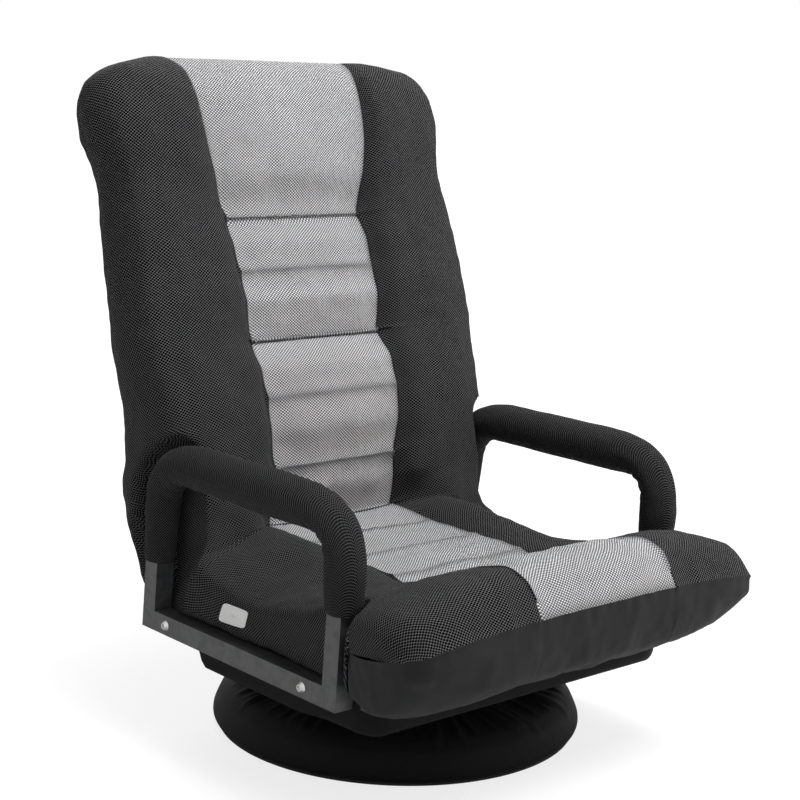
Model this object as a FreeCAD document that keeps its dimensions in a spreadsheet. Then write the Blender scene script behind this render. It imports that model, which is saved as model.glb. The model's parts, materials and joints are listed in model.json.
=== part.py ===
import FreeCAD, Part
import math
import os
import re
import Sketcher
from FreeCAD import Placement, Rotation, Vector

# Swivel floor chair with a reclining back. Millimetres, +Z up, origin on the floor at the
# swivel axis, the sitter faces -Y, so +X is the sitter's left.

DRIVING_SIZES = [
    ("base_radius", 206, "widest radius of the covered base"),
    ("base_cloth", 1.6, "outside of the base cover over the tube it is drawn on"),
    ("cloth_play", 0.3, "room between a drawn cloth and the metal under it"),
    ("foot_rubber", 2.5, "rubber under the ring tube"),
    ("rubber_width", 14, "width of that rubber"),
    ("ring_tube", 22, "diameter of the ring tube"),
    ("pan_wall", 2, "sheet of the base pan"),
    ("shoulder_inset", 22, "how far the pan turns down inside the widest radius"),
    ("shoulder_height", 43.5, "height of that turn"),
    ("hub_radius", 96, "radius of the flat hub"),
    ("hub_height", 58.5, "height of the flat hub"),
    ("plate_side", 130, "side of the square swivel plates"),
    ("plate_wall", 2.5, "sheet of the swivel plates"),
    ("plate_corner", 10, "corner radius of the swivel plates"),
    ("plate_gap", 16, "free height between the swivel plates"),
    ("race_radius", 46, "radius of the ball circle"),
    ("race_width", 14, "width of the race rings"),
    ("race_gap", 3, "gap between the race rings"),
    ("ball_size", 8, "diameter of a ball"),
    ("ball_count", 12, "number of balls"),
    ("ball_play", 0.2, "room round a ball in its groove"),
    ("cage_wall", 0.8, "thickness of the ball cage"),
    ("pivot_size", 12, "diameter of the swivel pivot"),
    ("pivot_head", 24, "diameter of the pivot's heads"),
    ("pivot_play", 0.3, "room round the pivot"),
    ("plate_bolts", 100, "pitch of the swivel plate bolts"),
    ("plate_bolt", 6, "diameter of those bolts"),
    ("bolt_play", 0.3, "room round a bolt"),
    ("tray_cloth", 1.6, "thickness of the cloth under the seat"),
    ("bar_size", 30, "side of the cross bars"),
    ("bar_wall", 1.5, "wall of the cross bars"),
    ("seat_tube", 20, "side of the square seat frame tube"),
    ("tube_wall", 1.5, "wall of the seat and back frame tubes"),
    ("frame_width", 426, "outer width of the seat frame"),
    ("frame_front", 205, "front of the seat frame before the swivel axis"),
    ("frame_rear", 138, "rear end of the side tubes behind the swivel axis"),
    ("rear_tube_at", 45, "place of the rear cross tube behind the swivel axis"),
    ("tray_rear", 100, "rear end of the tray's floor behind the swivel axis"),
    ("strap_width", 48, "width of a webbing strap"),
    ("strap_wall", 2, "thickness of a webbing strap"),
    ("seat_strap_front", 160, "middle of the front seat strap before the swivel axis"),
    ("seat_strap_pitch", 70, "pitch of the seat straps"),
    ("arm_tube", 22, "side of the square arm tube"),
    ("arm_gap", 2.6, "washer between the seat frame and an arm frame"),
    ("arm_front", 169, "front arm post before the swivel axis, at the rail"),
    ("arm_rear", 146, "rear arm post behind the swivel axis, at the rail"),
    ("arm_top", 303, "height of the middle of the arm's top"),
    ("front_lean", 10, "how far the front post leans forward"),
    ("rear_lean", 15, "how far the rear post leans forward"),
    ("front_bend", 42, "middle radius of the front bend"),
    ("rear_bend", 50, "middle radius of the rear bend"),
    ("pad_size", 46, "outer diameter of the arm sleeve"),
    ("sleeve_cloth", 1.6, "thickness of the arm sleeve"),
    ("pad_low_rear", 186, "height of the sleeve's rear end"),
    ("pad_low_front", 206, "height of the sleeve's front end"),
    ("arm_bolt", 8, "diameter of the arm bolts"),
    ("arm_bolt_rear", 112, "rear arm bolt behind the swivel axis"),
    ("arm_bolt_front", 127, "front arm bolt before the swivel axis"),
    ("arm_bolt_head", 11, "diameter of the arm bolt heads"),
    ("hinge_y", 118, "hinge axis behind the swivel axis"),
    ("hinge_z", 140, "hinge axis above the floor"),
    ("rest_recline", 18, "lean of the back behind upright in the first notch"),
    ("forward_travel", 6, "travel forward of the first notch that frees the pawl"),
    ("hinge_steel", 4, "thickness of the hinge plates and sectors"),
    ("hinge_pin", 10, "diameter of the hinge pins"),
    ("hinge_play", 0.3, "running clearance in the hinge"),
    ("sector_radius", 34, "tip radius of the toothed sectors"),
    ("tooth_depth", 5, "depth of a sector tooth"),
    ("tooth_step", 14.4, "recline between two notches"),
    ("tooth_count", 6, "number of notches"),
    ("pawl_length", 30, "pawl pivot to tip"),
    ("pawl_pin", 6, "diameter of the pawl pins"),
    ("spring_wire", 1.6, "wire of the pawl springs"),
    ("spring_turns", 3, "turns of a pawl spring"),
    ("back_tube", 20, "diameter of the back frame tube"),
    ("back_frame_top", 530, "top of the back frame above the hinge axis"),
    ("back_bend", 60, "bend radius of the back frame's top corners"),
    ("back_strap_low", 80, "lowest back strap above the hinge axis"),
    ("back_strap_pitch", 90, "pitch of the back straps"),
    ("seam_depth", 33.8, "front seam plane of the back before the hinge axis"),
    ("roll_radius", 60, "radius of the cushion roll round the hinge axis"),
    ("roll_room", 53, "room at each end of that roll for the hinge, from the frame's outside"),
    ("padding", 8, "cover with its wadding, in front of the foam core"),
    ("fold_room", 1.5, "free angle left in the crease at full forward travel"),
    ("cushion_play", 1.5, "room between the roll and the seat cushion"),
    ("seat_panel", 96, "half width of the grey seat panel"),
    ("seat_flare", 5.4, "how far the seat cushion's front stands out past an arm's outer face"),
    ("waist_inset", 13.6, "how far the seat cushion lies inside that face between the arm posts"),
    ("arm_room", 3, "room between the cushions and the arm sleeves"),
    ("side_foot", 48, "height over the hinge axis where the back's sides end behind the arms"),
    ("back_flare", 1.4, "how far the back cushion stands out past that face"),
    ("tag_width", 46, "width of the side tag"),
    ("tag_height", 21, "height of the side tag"),
    ("tag_cloth", 0.8, "thickness of the side tag"),
]

document = FreeCAD.newDocument("floor_chair")
sheet = document.addObject("Spreadsheet::Sheet", "Sizes")
for row, (alias, value, meaning) in enumerate(DRIVING_SIZES, start=1):
    sheet.set("A%d" % row, alias)
    sheet.set("B%d" % row, str(value))
    sheet.set("C%d" % row, meaning)
    sheet.setAlias("B%d" % row, alias)
document.recompute()

ALIASES = {alias for alias, _, _ in DRIVING_SIZES}
SIDES = (("r", -1), ("l", 1))
PAWL_ANGLE = 152


def size(alias):
    return float(sheet.get(alias))


def arm_span():
    """Width over the outer faces of the arm frames."""
    return size("frame_width") + 2 * (size("arm_gap") + size("arm_tube"))


def seat_half_width():
    """Half width of the seat cushion at the front."""
    return arm_span() / 2 + size("seat_flare")


def seat_waist():
    """Half width of the seat cushion between the arm posts."""
    return arm_span() / 2 - size("waist_inset")


def back_half_width():
    return arm_span() / 2 + size("back_flare")


def roll_half_width():
    return size("frame_width") / 2 - size("roll_room")


def pan_shoulder():
    """Radius where the base pan turns down."""
    return size("base_radius") - size("shoulder_inset")


def bound(text):
    """An expression in which every alias of the sheet is written out."""
    return re.sub(r"[a-z_]+", lambda m: "Sizes." + m.group() if m.group() in ALIASES else m.group(), text)


# Heights that several sub-parts share, as expressions of the driving sizes
LOWER_PLATE_TOP = "(hub_height + plate_wall)"
UPPER_PLATE_LOW = "(hub_height + plate_wall + plate_gap)"
TRAY_LOW = "(hub_height + 2 * plate_wall + plate_gap)"
BAR_LOW = "(hub_height + 2 * plate_wall + plate_gap + tray_cloth)"
TUBE_LOW = "(hub_height + 2 * plate_wall + plate_gap + tray_cloth + bar_size)"
RAIL_Z = "(hub_height + 2 * plate_wall + plate_gap + tray_cloth + bar_size + seat_tube / 2)"
BALL_Z = "(hub_height + plate_wall + plate_gap / 2)"


def number(text):
    """The value of an expression of the driving sizes."""
    return float(sheet.evalExpression(bound(text)))


def name_part(item, label):
    item.Label = label
    return item


def bind(item, **sizes):
    for prop, text in sizes.items():
        item.setExpression(prop.replace("__", "."), bound(str(text)))
    return item


def place(item, x="0", y="0", z="0"):
    return bind(item, Placement__Base__x=x, Placement__Base__y=y, Placement__Base__z=z)


def box(length, width, height, x, y, z):
    """A box by its low corner."""
    item = document.addObject("Part::Box", "Box")
    bind(item, Length=length, Width=width, Height=height)
    return place(item, x, y, z)


def middle_box(length, width, height, x, y, z):
    """A box by the middle of its underside."""
    return box(length, width, height, f"{x} - ({length}) / 2", f"{y} - ({width}) / 2", z)


def cylinder(radius, height, x="0", y="0", z="0", axis=Vector(0, 0, 1)):
    item = document.addObject("Part::Cylinder", "Cylinder")
    item.Placement = Placement(Vector(), Rotation(Vector(0, 0, 1), axis))
    bind(item, Radius=radius, Height=height)
    return place(item, x, y, z)


def cone(low_radius, high_radius, height, z):
    item = document.addObject("Part::Cone", "Cone")
    bind(item, Radius1=low_radius, Radius2=high_radius, Height=height)
    return place(item, z=z)


def torus(major, minor, z):
    item = document.addObject("Part::Torus", "Torus")
    bind(item, Radius1=major, Radius2=minor)
    return place(item, z=z)


def cut(base, *tools):
    for tool in tools:
        item = document.addObject("Part::Cut", "Cut")
        item.Base = base
        item.Tool = tool
        base = item
    return base


def fuse(*items):
    item = document.addObject("Part::MultiFuse", "Fuse")
    item.Shapes = list(items)
    return item


def group(*items):
    """Separate solids that share one node."""
    item = document.addObject("Part::Compound", "Group")
    item.Links = list(items)
    return item


def feature(label, shape, placement=None):
    item = document.addObject("Part::Feature", "Shaped")
    item.Shape = shape
    if placement is not None:
        item.Placement = placement
    return name_part(item, label)


def tube_box(length, width, height, wall, x, y, z, along):
    """A square tube, open at both ends along X or Y, by the middle of its underside."""
    outer = middle_box(length, width, height, x, y, z)
    over = "2"
    long_x = f"{length} + {over}" if along == "x" else f"{length} - 2 * {wall}"
    long_y = f"{width} + {over}" if along == "y" else f"{width} - 2 * {wall}"
    inner = middle_box(long_x, long_y, f"{height} - 2 * {wall}", x, y, f"{z} + {wall}")
    return cut(outer, inner)


# Base


def base_ring_tube():
    ring = torus("base_radius - base_cloth - ring_tube / 2", "ring_tube / 2", "foot_rubber + ring_tube / 2")
    return name_part(ring, "base_ring_tube")


def floor_ring():
    """Flat rubber ring glued under the ring tube."""
    middle = "base_radius - base_cloth - ring_tube / 2"
    disc = cylinder(f"{middle} + rubber_width / 2", "foot_rubber")
    bore = cylinder(f"{middle} - rubber_width / 2", "foot_rubber")
    return name_part(cut(disc, bore), "floor_ring")


def base_pan():
    """Dished steel sheet from the ring tube up to the flat hub."""
    ring_top = "(foot_rubber + ring_tube)"
    middle = "base_radius - base_cloth - ring_tube / 2"
    shoulder = "(base_radius - shoulder_inset)"
    skirt = cone(f"{middle} + 1", shoulder, f"shoulder_height - {ring_top}", ring_top)
    dish = cone(shoulder, "hub_radius", "hub_height - shoulder_height", "shoulder_height")
    skirt_hollow = cone(f"{middle} + 1 - pan_wall", f"{shoulder} - pan_wall",
                        f"shoulder_height - {ring_top} - pan_wall / 2", ring_top)
    dish_hollow = cone(f"{shoulder} - pan_wall", "hub_radius - pan_wall",
                       "hub_height - shoulder_height - pan_wall / 2", "shoulder_height - pan_wall / 2")
    bore = cylinder("pivot_size / 2 + pivot_play", "hub_height")
    pan = cut(fuse(skirt, dish), fuse(skirt_hollow, dish_hollow), bore, *plate_bolt_holes("0", "hub_height + 1"))
    return name_part(pan, "base_pan")


def plate_bolt_places():
    return [(x, y) for x in ("plate_bolts / 2", "-plate_bolts / 2") for y in ("plate_bolts / 2", "-plate_bolts / 2")]


def plate_bolt_holes(z, height):
    return [cylinder("plate_bolt / 2 + bolt_play", height, x, y, z) for x, y in plate_bolt_places()]


def base_cover():
    """Cloth drawn over the ring tube and the pan, hemmed under the ring."""
    cloth = size("base_cloth")
    tube = size("ring_tube") / 2
    middle = size("base_radius") - cloth - tube
    tube_z = size("foot_rubber") + tube
    inner = tube + size("cloth_play")
    outer = tube + cloth

    def on_tube(radius, angle):
        a = math.radians(angle)
        return Vector(middle + radius * math.cos(a), 0, tube_z + radius * math.sin(a))

    shoulder = Vector(pan_shoulder() + 1, 0, size("shoulder_height"))
    hub = Vector(size("hub_radius"), 0, size("hub_height"))
    slope = (hub - shoulder).normalize()
    lift = Vector(-slope.z, 0, slope.x) * -1
    out_shoulder = shoulder + lift * cloth
    out_hub = hub + lift * cloth
    side_in = on_tube(inner, 28)
    side_out = on_tube(outer, 28)
    turn = Vector(cloth, 0, cloth * 0.6)
    edges = [
        Part.Arc(on_tube(inner, -58), on_tube(inner, -15), side_in).toShape(),
        Part.LineSegment(side_in, shoulder).toShape(),
        Part.LineSegment(shoulder, hub).toShape(),
        Part.LineSegment(hub, out_hub).toShape(),
        Part.LineSegment(out_hub, out_shoulder + slope * 2).toShape(),
        Part.Arc(out_shoulder + slope * 2, shoulder + turn, side_out + (shoulder + turn - side_out) * 0.8).toShape(),
        Part.LineSegment(side_out + (shoulder + turn - side_out) * 0.8, side_out).toShape(),
        Part.Arc(side_out, on_tube(outer, -15), on_tube(outer, -58)).toShape(),
        Part.LineSegment(on_tube(outer, -58), on_tube(inner, -58)).toShape(),
    ]
    face = Part.Face(Part.Wire(edges))
    return feature("base_cover", face.revolve(Vector(), Vector(0, 0, 1), 360))


def swivel_plate(label, z, race_z):
    """Square plate with a pressed race ring, bored for the pivot and four bolts."""
    body = document.addObject("PartDesign::Body", label + "_body")
    sketch = body.newObject("Sketcher::SketchObject", label + "_outline")
    plane = next(f for f in body.Origin.OriginFeatures if f.Role == "XY_Plane")
    sketch.AttachmentSupport = [(plane, "")]
    sketch.MapMode = "FlatFace"
    corners = [Vector(-1, -1, 0), Vector(1, -1, 0), Vector(1, 1, 0), Vector(-1, 1, 0)]
    half = size("plate_side") / 2
    for i in range(4):
        sketch.addGeometry(Part.LineSegment(corners[i] * half, corners[(i + 1) % 4] * half))
    for i in range(4):
        sketch.addConstraint(Sketcher.Constraint("Coincident", i, 2, (i + 1) % 4, 1))
    for i in (0, 2):
        sketch.addConstraint(Sketcher.Constraint("Horizontal", i))
        sketch.addConstraint(Sketcher.Constraint("Vertical", i + 1))
    sketch.addConstraint(Sketcher.Constraint("Symmetric", 0, 1, 2, 1, -1, 1))
    for line, name in ((0, "across"), (1, "deep")):
        index = sketch.addConstraint(Sketcher.Constraint("Distance", line, 2 * half))
        sketch.renameConstraint(index, name)
        sketch.setExpression("Constraints." + name, bound("plate_side"))
    pad = body.newObject("PartDesign::Pad", label + "_sheet")
    pad.Profile = sketch
    bind(pad, Length="plate_wall")
    document.recompute()
    rounding = body.newObject("PartDesign::Fillet", label + "_corners")
    upright = [
        "Edge%d" % (i + 1)
        for i, edge in enumerate(pad.Shape.Edges)
        if abs(edge.tangentAt(edge.FirstParameter).z) > 0.9
    ]
    rounding.Base = (pad, upright)
    bind(rounding, Radius="plate_corner")
    body.Tip = rounding
    place(body, z=z)
    race_height = "(plate_gap - race_gap) / 2"
    ring = cylinder("race_radius + race_width / 2", race_height, z=race_z)
    hollow = cylinder("race_radius - race_width / 2", race_height, z=race_z)
    groove = race_groove()
    bore = cylinder("pivot_size / 2 + pivot_play", "3 * plate_wall", z=f"{z} - plate_wall")
    holes = plate_bolt_holes(f"{z} - plate_wall", "3 * plate_wall")
    plate = cut(fuse(body, cut(ring, hollow, groove)), bore, *holes)
    return name_part(plate, label)


def race_groove():
    """Ring of square section on edge, whose flanks lie round the balls with a little play."""
    reach = "(ball_size / 2 + ball_play) * sqrt(2)"
    high = cone(f"race_radius + {reach}", "race_radius", reach, BALL_Z)
    low = cone("race_radius", f"race_radius + {reach}", reach, f"{BALL_Z} - {reach}")
    high_core = cone(f"race_radius - {reach}", "race_radius", reach, BALL_Z)
    low_core = cone("race_radius", f"race_radius - {reach}", reach, f"{BALL_Z} - {reach}")
    return cut(fuse(low, high), fuse(low_core, high_core))


def swivel_balls():
    balls = []
    for i in range(int(size("ball_count"))):
        ball = document.addObject("Part::Sphere", "Ball")
        bind(ball, Radius="ball_size / 2")
        turn = f"{i} * 360 / ball_count"
        place(ball, f"race_radius * cos({turn})", f"race_radius * sin({turn})", BALL_Z)
        balls.append(ball)
    return name_part(group(*balls), "swivel_balls")


def ball_cage():
    """Thin ring that keeps the balls apart."""
    low = f"{BALL_Z} - cage_wall / 2"
    ring = cylinder("race_radius + race_width / 2 - 1", "cage_wall", z=low)
    hollow = cylinder("race_radius - race_width / 2 + 1", "cage_wall", z=low)
    holes = []
    for i in range(int(size("ball_count"))):
        turn = f"{i} * 360 / ball_count"
        holes.append(cylinder("ball_size / 2 + ball_play", "cage_wall",
                              f"race_radius * cos({turn})", f"race_radius * sin({turn})", low))
    return name_part(cut(ring, hollow, *holes), "ball_cage")


def swivel_pivot():
    """Shouldered rivet that holds the two swivel plates and the pan together."""
    low_head = cylinder("pivot_head / 2", "pan_wall * 2", z="hub_height - pan_wall * 3")
    shank = cylinder("pivot_size / 2", "pan_wall * 2 + 2 * plate_wall + plate_gap + pivot_play",
                     z="hub_height - pan_wall * 2")
    top_head = cylinder("pivot_head / 2", "plate_wall", z=f"{TRAY_LOW} + pivot_play")
    return name_part(fuse(low_head, shank, top_head), "swivel_pivot")


def bolt_set(label, head_z, shank_low, shank_high, nut_z):
    """Four bolts with round heads and hexagon nuts, on the plate's bolt pattern."""
    bolts = []
    for x, y in plate_bolt_places():
        shank = cylinder("plate_bolt / 2", f"{shank_high} - ({shank_low})", x, y, shank_low)
        head = cylinder("plate_bolt", "plate_bolt / 2", x, y, head_z)
        nut = document.addObject("Part::Prism", "Nut")
        nut.Polygon = 6
        bind(nut, Circumradius="plate_bolt * 0.92", Height="plate_bolt * 0.7")
        place(nut, x, y, nut_z)
        bolts.append(fuse(shank, head, nut))
    return name_part(group(*bolts), label)


def base_bolts():
    under = "hub_height - pan_wall"
    return bolt_set("base_bolts", LOWER_PLATE_TOP, f"{under} - plate_bolt", f"{LOWER_PLATE_TOP} + 1",
                    f"{under} - plate_bolt * 0.7")


# Seat frame


def upper_swivel_plate():
    return swivel_plate("upper_swivel_plate", UPPER_PLATE_LOW, "hub_height + plate_wall + (plate_gap + race_gap) / 2")


def lower_swivel_plate():
    return swivel_plate("lower_swivel_plate", "hub_height", LOWER_PLATE_TOP)


def swivel_bolts():
    """Bolts up through the upper plate and the tray cloth into the cross bars."""
    head_low = f"{UPPER_PLATE_LOW} - plate_bolt / 2"
    inside = f"{BAR_LOW} + bar_wall"
    return bolt_set("swivel_bolts", head_low, head_low, f"{inside} + plate_bolt", inside)


def cross_bars():
    """Two square bars that carry the seat frame on the swivel."""
    bars = []
    for y in ("plate_bolts / 2", "-plate_bolts / 2"):
        bar = tube_box("frame_width", "bar_size", "bar_size", "bar_wall", "0", y, BAR_LOW, "x")
        holes = [
            cylinder("plate_bolt / 2 + bolt_play", "2 * bar_wall", x, y, f"{BAR_LOW} - bar_wall / 2")
            for x in ("plate_bolts / 2", "-plate_bolts / 2")
        ]
        bars.append(cut(bar, *holes))
    return name_part(group(*bars), "cross_bars")


def seat_frame():
    """Welded square tube frame: two side tubes with a front and a rear cross tube."""
    long = "(frame_front + frame_rear)"
    parts = []
    for sign in ("", "-"):
        side = tube_box("seat_tube", long, "seat_tube", "tube_wall",
                        f"{sign}(frame_width - seat_tube) / 2", "(frame_rear - frame_front) / 2", TUBE_LOW, "y")
        parts.append(side)
    between = "(frame_width - 2 * seat_tube)"
    for y in ("seat_tube / 2 - frame_front", "rear_tube_at"):
        parts.append(tube_box(between, "seat_tube", "seat_tube", "tube_wall", "0", y, TUBE_LOW, "x"))
    holes = []
    for y in ("arm_bolt_rear", "-arm_bolt_front"):
        for x in ("frame_width / 2 - tube_wall - 1", "-frame_width / 2 - 1"):
            hole = cylinder("arm_bolt / 2 + bolt_play", "tube_wall + 2", x, y, RAIL_Z, Vector(1, 0, 0))
            holes.append(hole)
    return name_part(cut(fuse(*parts), *holes), "seat_frame")


def seat_webbing():
    """Straps stretched over the seat frame from side to side."""
    straps = []
    top = f"{TUBE_LOW} + seat_tube"
    for k in range(3):
        y = f"{k} * seat_strap_pitch - seat_strap_front"
        straps.append(middle_box("frame_width - 2", "strap_width", "strap_wall", "0", y, top))
    return name_part(group(*straps), "seat_webbing")


def seat_tray():
    """Cloth tray round the seat frame: bottom, front and side walls."""
    play = "0.3"
    outer_width = f"(frame_width + 2 * {play} + 2 * tray_cloth)"
    front = f"(frame_front + {play} + tray_cloth)"
    high = f"(bar_size + seat_tube + tray_cloth)"
    side_rear = "hinge_y"
    floor = middle_box(outer_width, f"({front} + tray_rear)", "tray_cloth", "0", f"(tray_rear - {front}) / 2", TRAY_LOW)
    walls = middle_box(outer_width, f"({front} + {side_rear})", high, "0", f"({side_rear} - {front}) / 2", TRAY_LOW)
    gap = middle_box(outer_width, f"{side_rear} - tray_rear", "2 * tray_cloth", "0",
                     f"({side_rear} + tray_rear) / 2", f"{TRAY_LOW} - tray_cloth")
    inside = middle_box(f"frame_width + 2 * {play}", f"frame_front + {play} + 2 * {side_rear}", high, "0",
                        f"(2 * {side_rear} - frame_front - {play}) / 2", BAR_LOW)
    holes = plate_bolt_holes(f"{TRAY_LOW} - 1", "tray_cloth + 2")
    holes.append(cylinder("pivot_head / 2 + 1", "tray_cloth + 2", z=f"{TRAY_LOW} - 1"))
    for y in ("arm_bolt_rear", "-arm_bolt_front"):
        holes.append(cylinder("arm_bolt / 2 + bolt_play", "2 * frame_width", "-frame_width", y, RAIL_Z, Vector(1, 0, 0)))
    return name_part(cut(fuse(floor, walls), inside, gap, *holes), "seat_tray")


# Arms


def arm_path():
    """Corners of the arm frame's middle line in the YZ plane, from the rear rail end round to the front one."""
    rail = number(RAIL_Z)
    top = size("arm_top")
    return [
        Vector(0, size("arm_rear"), rail),
        Vector(0, size("arm_rear") - size("rear_lean"), top),
        Vector(0, -size("arm_front") - size("front_lean"), top),
        Vector(0, -size("arm_front"), rail),
    ]


def bend(before, corner, after, radius):
    """Start, middle and end of the tangent arc that rounds a corner."""
    back = (before - corner).normalize()
    ahead = (after - corner).normalize()
    half = back.getAngle(ahead) / 2
    reach = radius / math.tan(half)
    inward = (back + ahead).normalize()
    middle = corner + inward * (radius / math.sin(half) - radius)
    return corner + back * reach, middle, corner + ahead * reach


def arm_outline(offset):
    """Closed outline of the arm frame, moved outward from the middle line by an offset."""
    corners = arm_path()
    count = len(corners)
    normals = []
    for i in range(count):
        along = (corners[(i + 1) % count] - corners[i]).normalize()
        normals.append(Vector(0, -along.z, along.y) * -1)
    moved = []
    for i in range(count):
        a, b = normals[i - 1], normals[i]
        moved.append(corners[i] + (a + b) * (offset / (1 + a.dot(b))))
    rear = bend(moved[0], moved[1], moved[2], size("rear_bend") + offset)
    front = bend(moved[1], moved[2], moved[3], size("front_bend") + offset)
    edges = [
        Part.LineSegment(moved[0], rear[0]).toShape(),
        Part.Arc(*rear).toShape(),
        Part.LineSegment(rear[2], front[0]).toShape(),
        Part.Arc(*front).toShape(),
        Part.LineSegment(front[2], moved[3]).toShape(),
        Part.LineSegment(moved[3], moved[0]).toShape(),
    ]
    return Part.Face(Part.Wire(edges))


def arm_middle(side):
    return side * (arm_span() - size("arm_tube")) / 2


def arm_loop(side, grow=0.0):
    """The solid of the arm frame, or of its place grown by a little."""
    half = size("arm_tube") / 2 + grow
    ring = arm_outline(half).cut(arm_outline(-half))
    ring.translate(Vector(arm_middle(side) - half, 0, 0))
    return ring.extrude(Vector(2 * half, 0, 0))


def arm_frame(name, side):
    """Square tube bent over the top and mitred at the rail, drilled for two bolts."""
    loop = arm_loop(side)
    rail = number(RAIL_Z)
    for y in (size("arm_bolt_rear"), -size("arm_bolt_front")):
        radius = size("arm_bolt") / 2 + size("bolt_play")
        loop = loop.cut(Part.makeCylinder(radius, arm_span(), Vector(-arm_span() / 2, y, rail), Vector(1, 0, 0)))
    return feature("arm_frame_" + name, loop)


def pad_solid(side, radius, corners_round=0):
    """A bar along the padded part of the arm, from one sleeve end to the other, round or with flat sides."""
    corners = arm_path()
    low_rear = corners[0] + (corners[1] - corners[0]) * (
        (size("pad_low_rear") - corners[0].z) / (corners[1].z - corners[0].z))
    low_front = corners[3] + (corners[2] - corners[3]) * (
        (size("pad_low_front") - corners[3].z) / (corners[2].z - corners[3].z))
    rear = bend(corners[0], corners[1], corners[2], size("rear_bend"))
    front = bend(corners[1], corners[2], corners[3], size("front_bend"))
    path = Part.Wire([
        Part.LineSegment(low_rear, rear[0]).toShape(),
        Part.Arc(*rear).toShape(),
        Part.LineSegment(rear[2], front[0]).toShape(),
        Part.Arc(*front).toShape(),
        Part.LineSegment(front[2], low_front).toShape(),
    ])
    axis = corners[1] - corners[0]
    ring = Part.Wire(Part.makeCircle(radius, low_rear, axis))
    if corners_round:
        across = Vector(0, -axis.z, axis.y).normalize()
        turns = [(k + 0.5) * 2 * math.pi / corners_round for k in range(corners_round + 1)]
        ring = Part.makePolygon([
            low_rear + Vector(radius * math.cos(a), 0, 0) + across * (radius * math.sin(a)) for a in turns
        ])
    bar = path.makePipeShell([ring], True, False)
    bar.translate(Vector(arm_middle(side), 0, 0))
    return bar


def arm_foam(name, side):
    """Eight-sided foam bar round the arm, with the square tube's place cut out."""
    foam = pad_solid(side, size("pad_size") / 2 - size("sleeve_cloth"), 8)
    return feature("arm_foam_" + name, foam.cut(arm_loop(side)))


def arm_sleeve(name, side):
    foam = pad_solid(side, size("pad_size") / 2 - size("sleeve_cloth"), 8)
    return feature("arm_sleeve_" + name, pad_solid(side, size("pad_size") / 2).cut(foam))


def arm_bolts():
    """Button head bolts through arm rail and tray into rivet nuts in the seat frame's outer wall."""
    bolts = []
    radius = size("arm_bolt") / 2
    outer = arm_span() / 2
    inner = size("frame_width") / 2 - size("tube_wall")
    for _, side in SIDES:
        for y in (size("arm_bolt_rear"), -size("arm_bolt_front")):
            start = Vector(side * (inner - size("arm_bolt") * 1.2), y, number(RAIL_Z))
            axis = Vector(side, 0, 0)
            shank = Part.makeCylinder(radius, outer - inner + size("arm_bolt") * 1.2, start, axis)
            head_base = Vector(side * outer, y, number(RAIL_Z))
            head = Part.makeCone(size("arm_bolt_head") / 2, size("arm_bolt_head") * 0.32, 3.5, head_base, axis)
            socket = Part.makeCylinder(size("arm_bolt") * 0.31, 2.2, head_base + axis * 1.5, axis)
            nut = Part.makeCylinder(radius * 1.7, radius * 2, Vector(side * inner, y, number(RAIL_Z)), axis * -1)
            bolts.append(shank.fuse([head.cut(socket), nut]).removeSplitter())
    return feature("arm_bolts", Part.makeCompound(bolts))


# Hinges


def hinge():
    return Vector(0, size("hinge_y"), size("hinge_z"))


def lean():
    """Placement that takes the back's own frame, with the hinge axis at its origin, to the rest pose."""
    return Placement(hinge(), Rotation(Vector(1, 0, 0), -size("rest_recline")))


def leg_middle():
    """Distance of the back frame's legs from the middle plane."""
    inner_tube = size("frame_width") / 2 - size("seat_tube")
    return inner_tube - 2 * size("hinge_steel") - size("hinge_play") - size("back_tube") / 2


def plate_inner():
    """Inner face of the hinge plate, which is welded to the inside of the seat frame's side tube."""
    return size("frame_width") / 2 - size("seat_tube") - size("hinge_steel")


def slab(points, x_low, thickness):
    """A flat plate with a polygon outline in the YZ plane."""
    wire = Part.makePolygon([Vector(x_low, y, z) for y, z in points + points[:1]])
    return Part.Face(wire).extrude(Vector(thickness, 0, 0))


def pawl_pivot():
    """Pawl pivot, placed so that the pawl's tip lies on the tip circle of the sector."""
    reach = size("sector_radius") + size("hinge_play") + size("pawl_length") * 0.6
    return hinge() + Vector(0, -reach, -size("pawl_length") * 0.35)


def hinge_plate(name, side):
    """Steel plate welded to the seat frame tube, carrying the hinge pin and the pawl pin."""
    centre = hinge()
    pawl = pawl_pivot()
    low = number(TUBE_LOW)
    x = plate_inner() if side > 0 else -plate_inner() - size("hinge_steel")
    boss = size("sector_radius") * 0.7
    outline = [
        (pawl.y - 8, low),
        (centre.y + boss * 0.7, low),
        (centre.y + boss, centre.z - 4),
        (centre.y + boss * 0.7, centre.z + boss * 0.7),
        (centre.y - 2, centre.z + boss),
        (pawl.y + 4, pawl.z + 14),
        (pawl.y - 8, pawl.z + 10),
    ]
    plate = slab(outline, x, size("hinge_steel"))
    axis = Vector(1, 0, 0)
    pin_hole = Part.makeCylinder(size("hinge_pin") / 2, 2 * size("hinge_steel"), Vector(x - 2, centre.y, centre.z), axis)
    pawl_hole = Part.makeCylinder(size("pawl_pin") / 2, 2 * size("hinge_steel"), Vector(x - 2, pawl.y, pawl.z), axis)
    return feature("hinge_plate_" + name, plate.cut([pin_hole, pawl_hole]))


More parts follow.
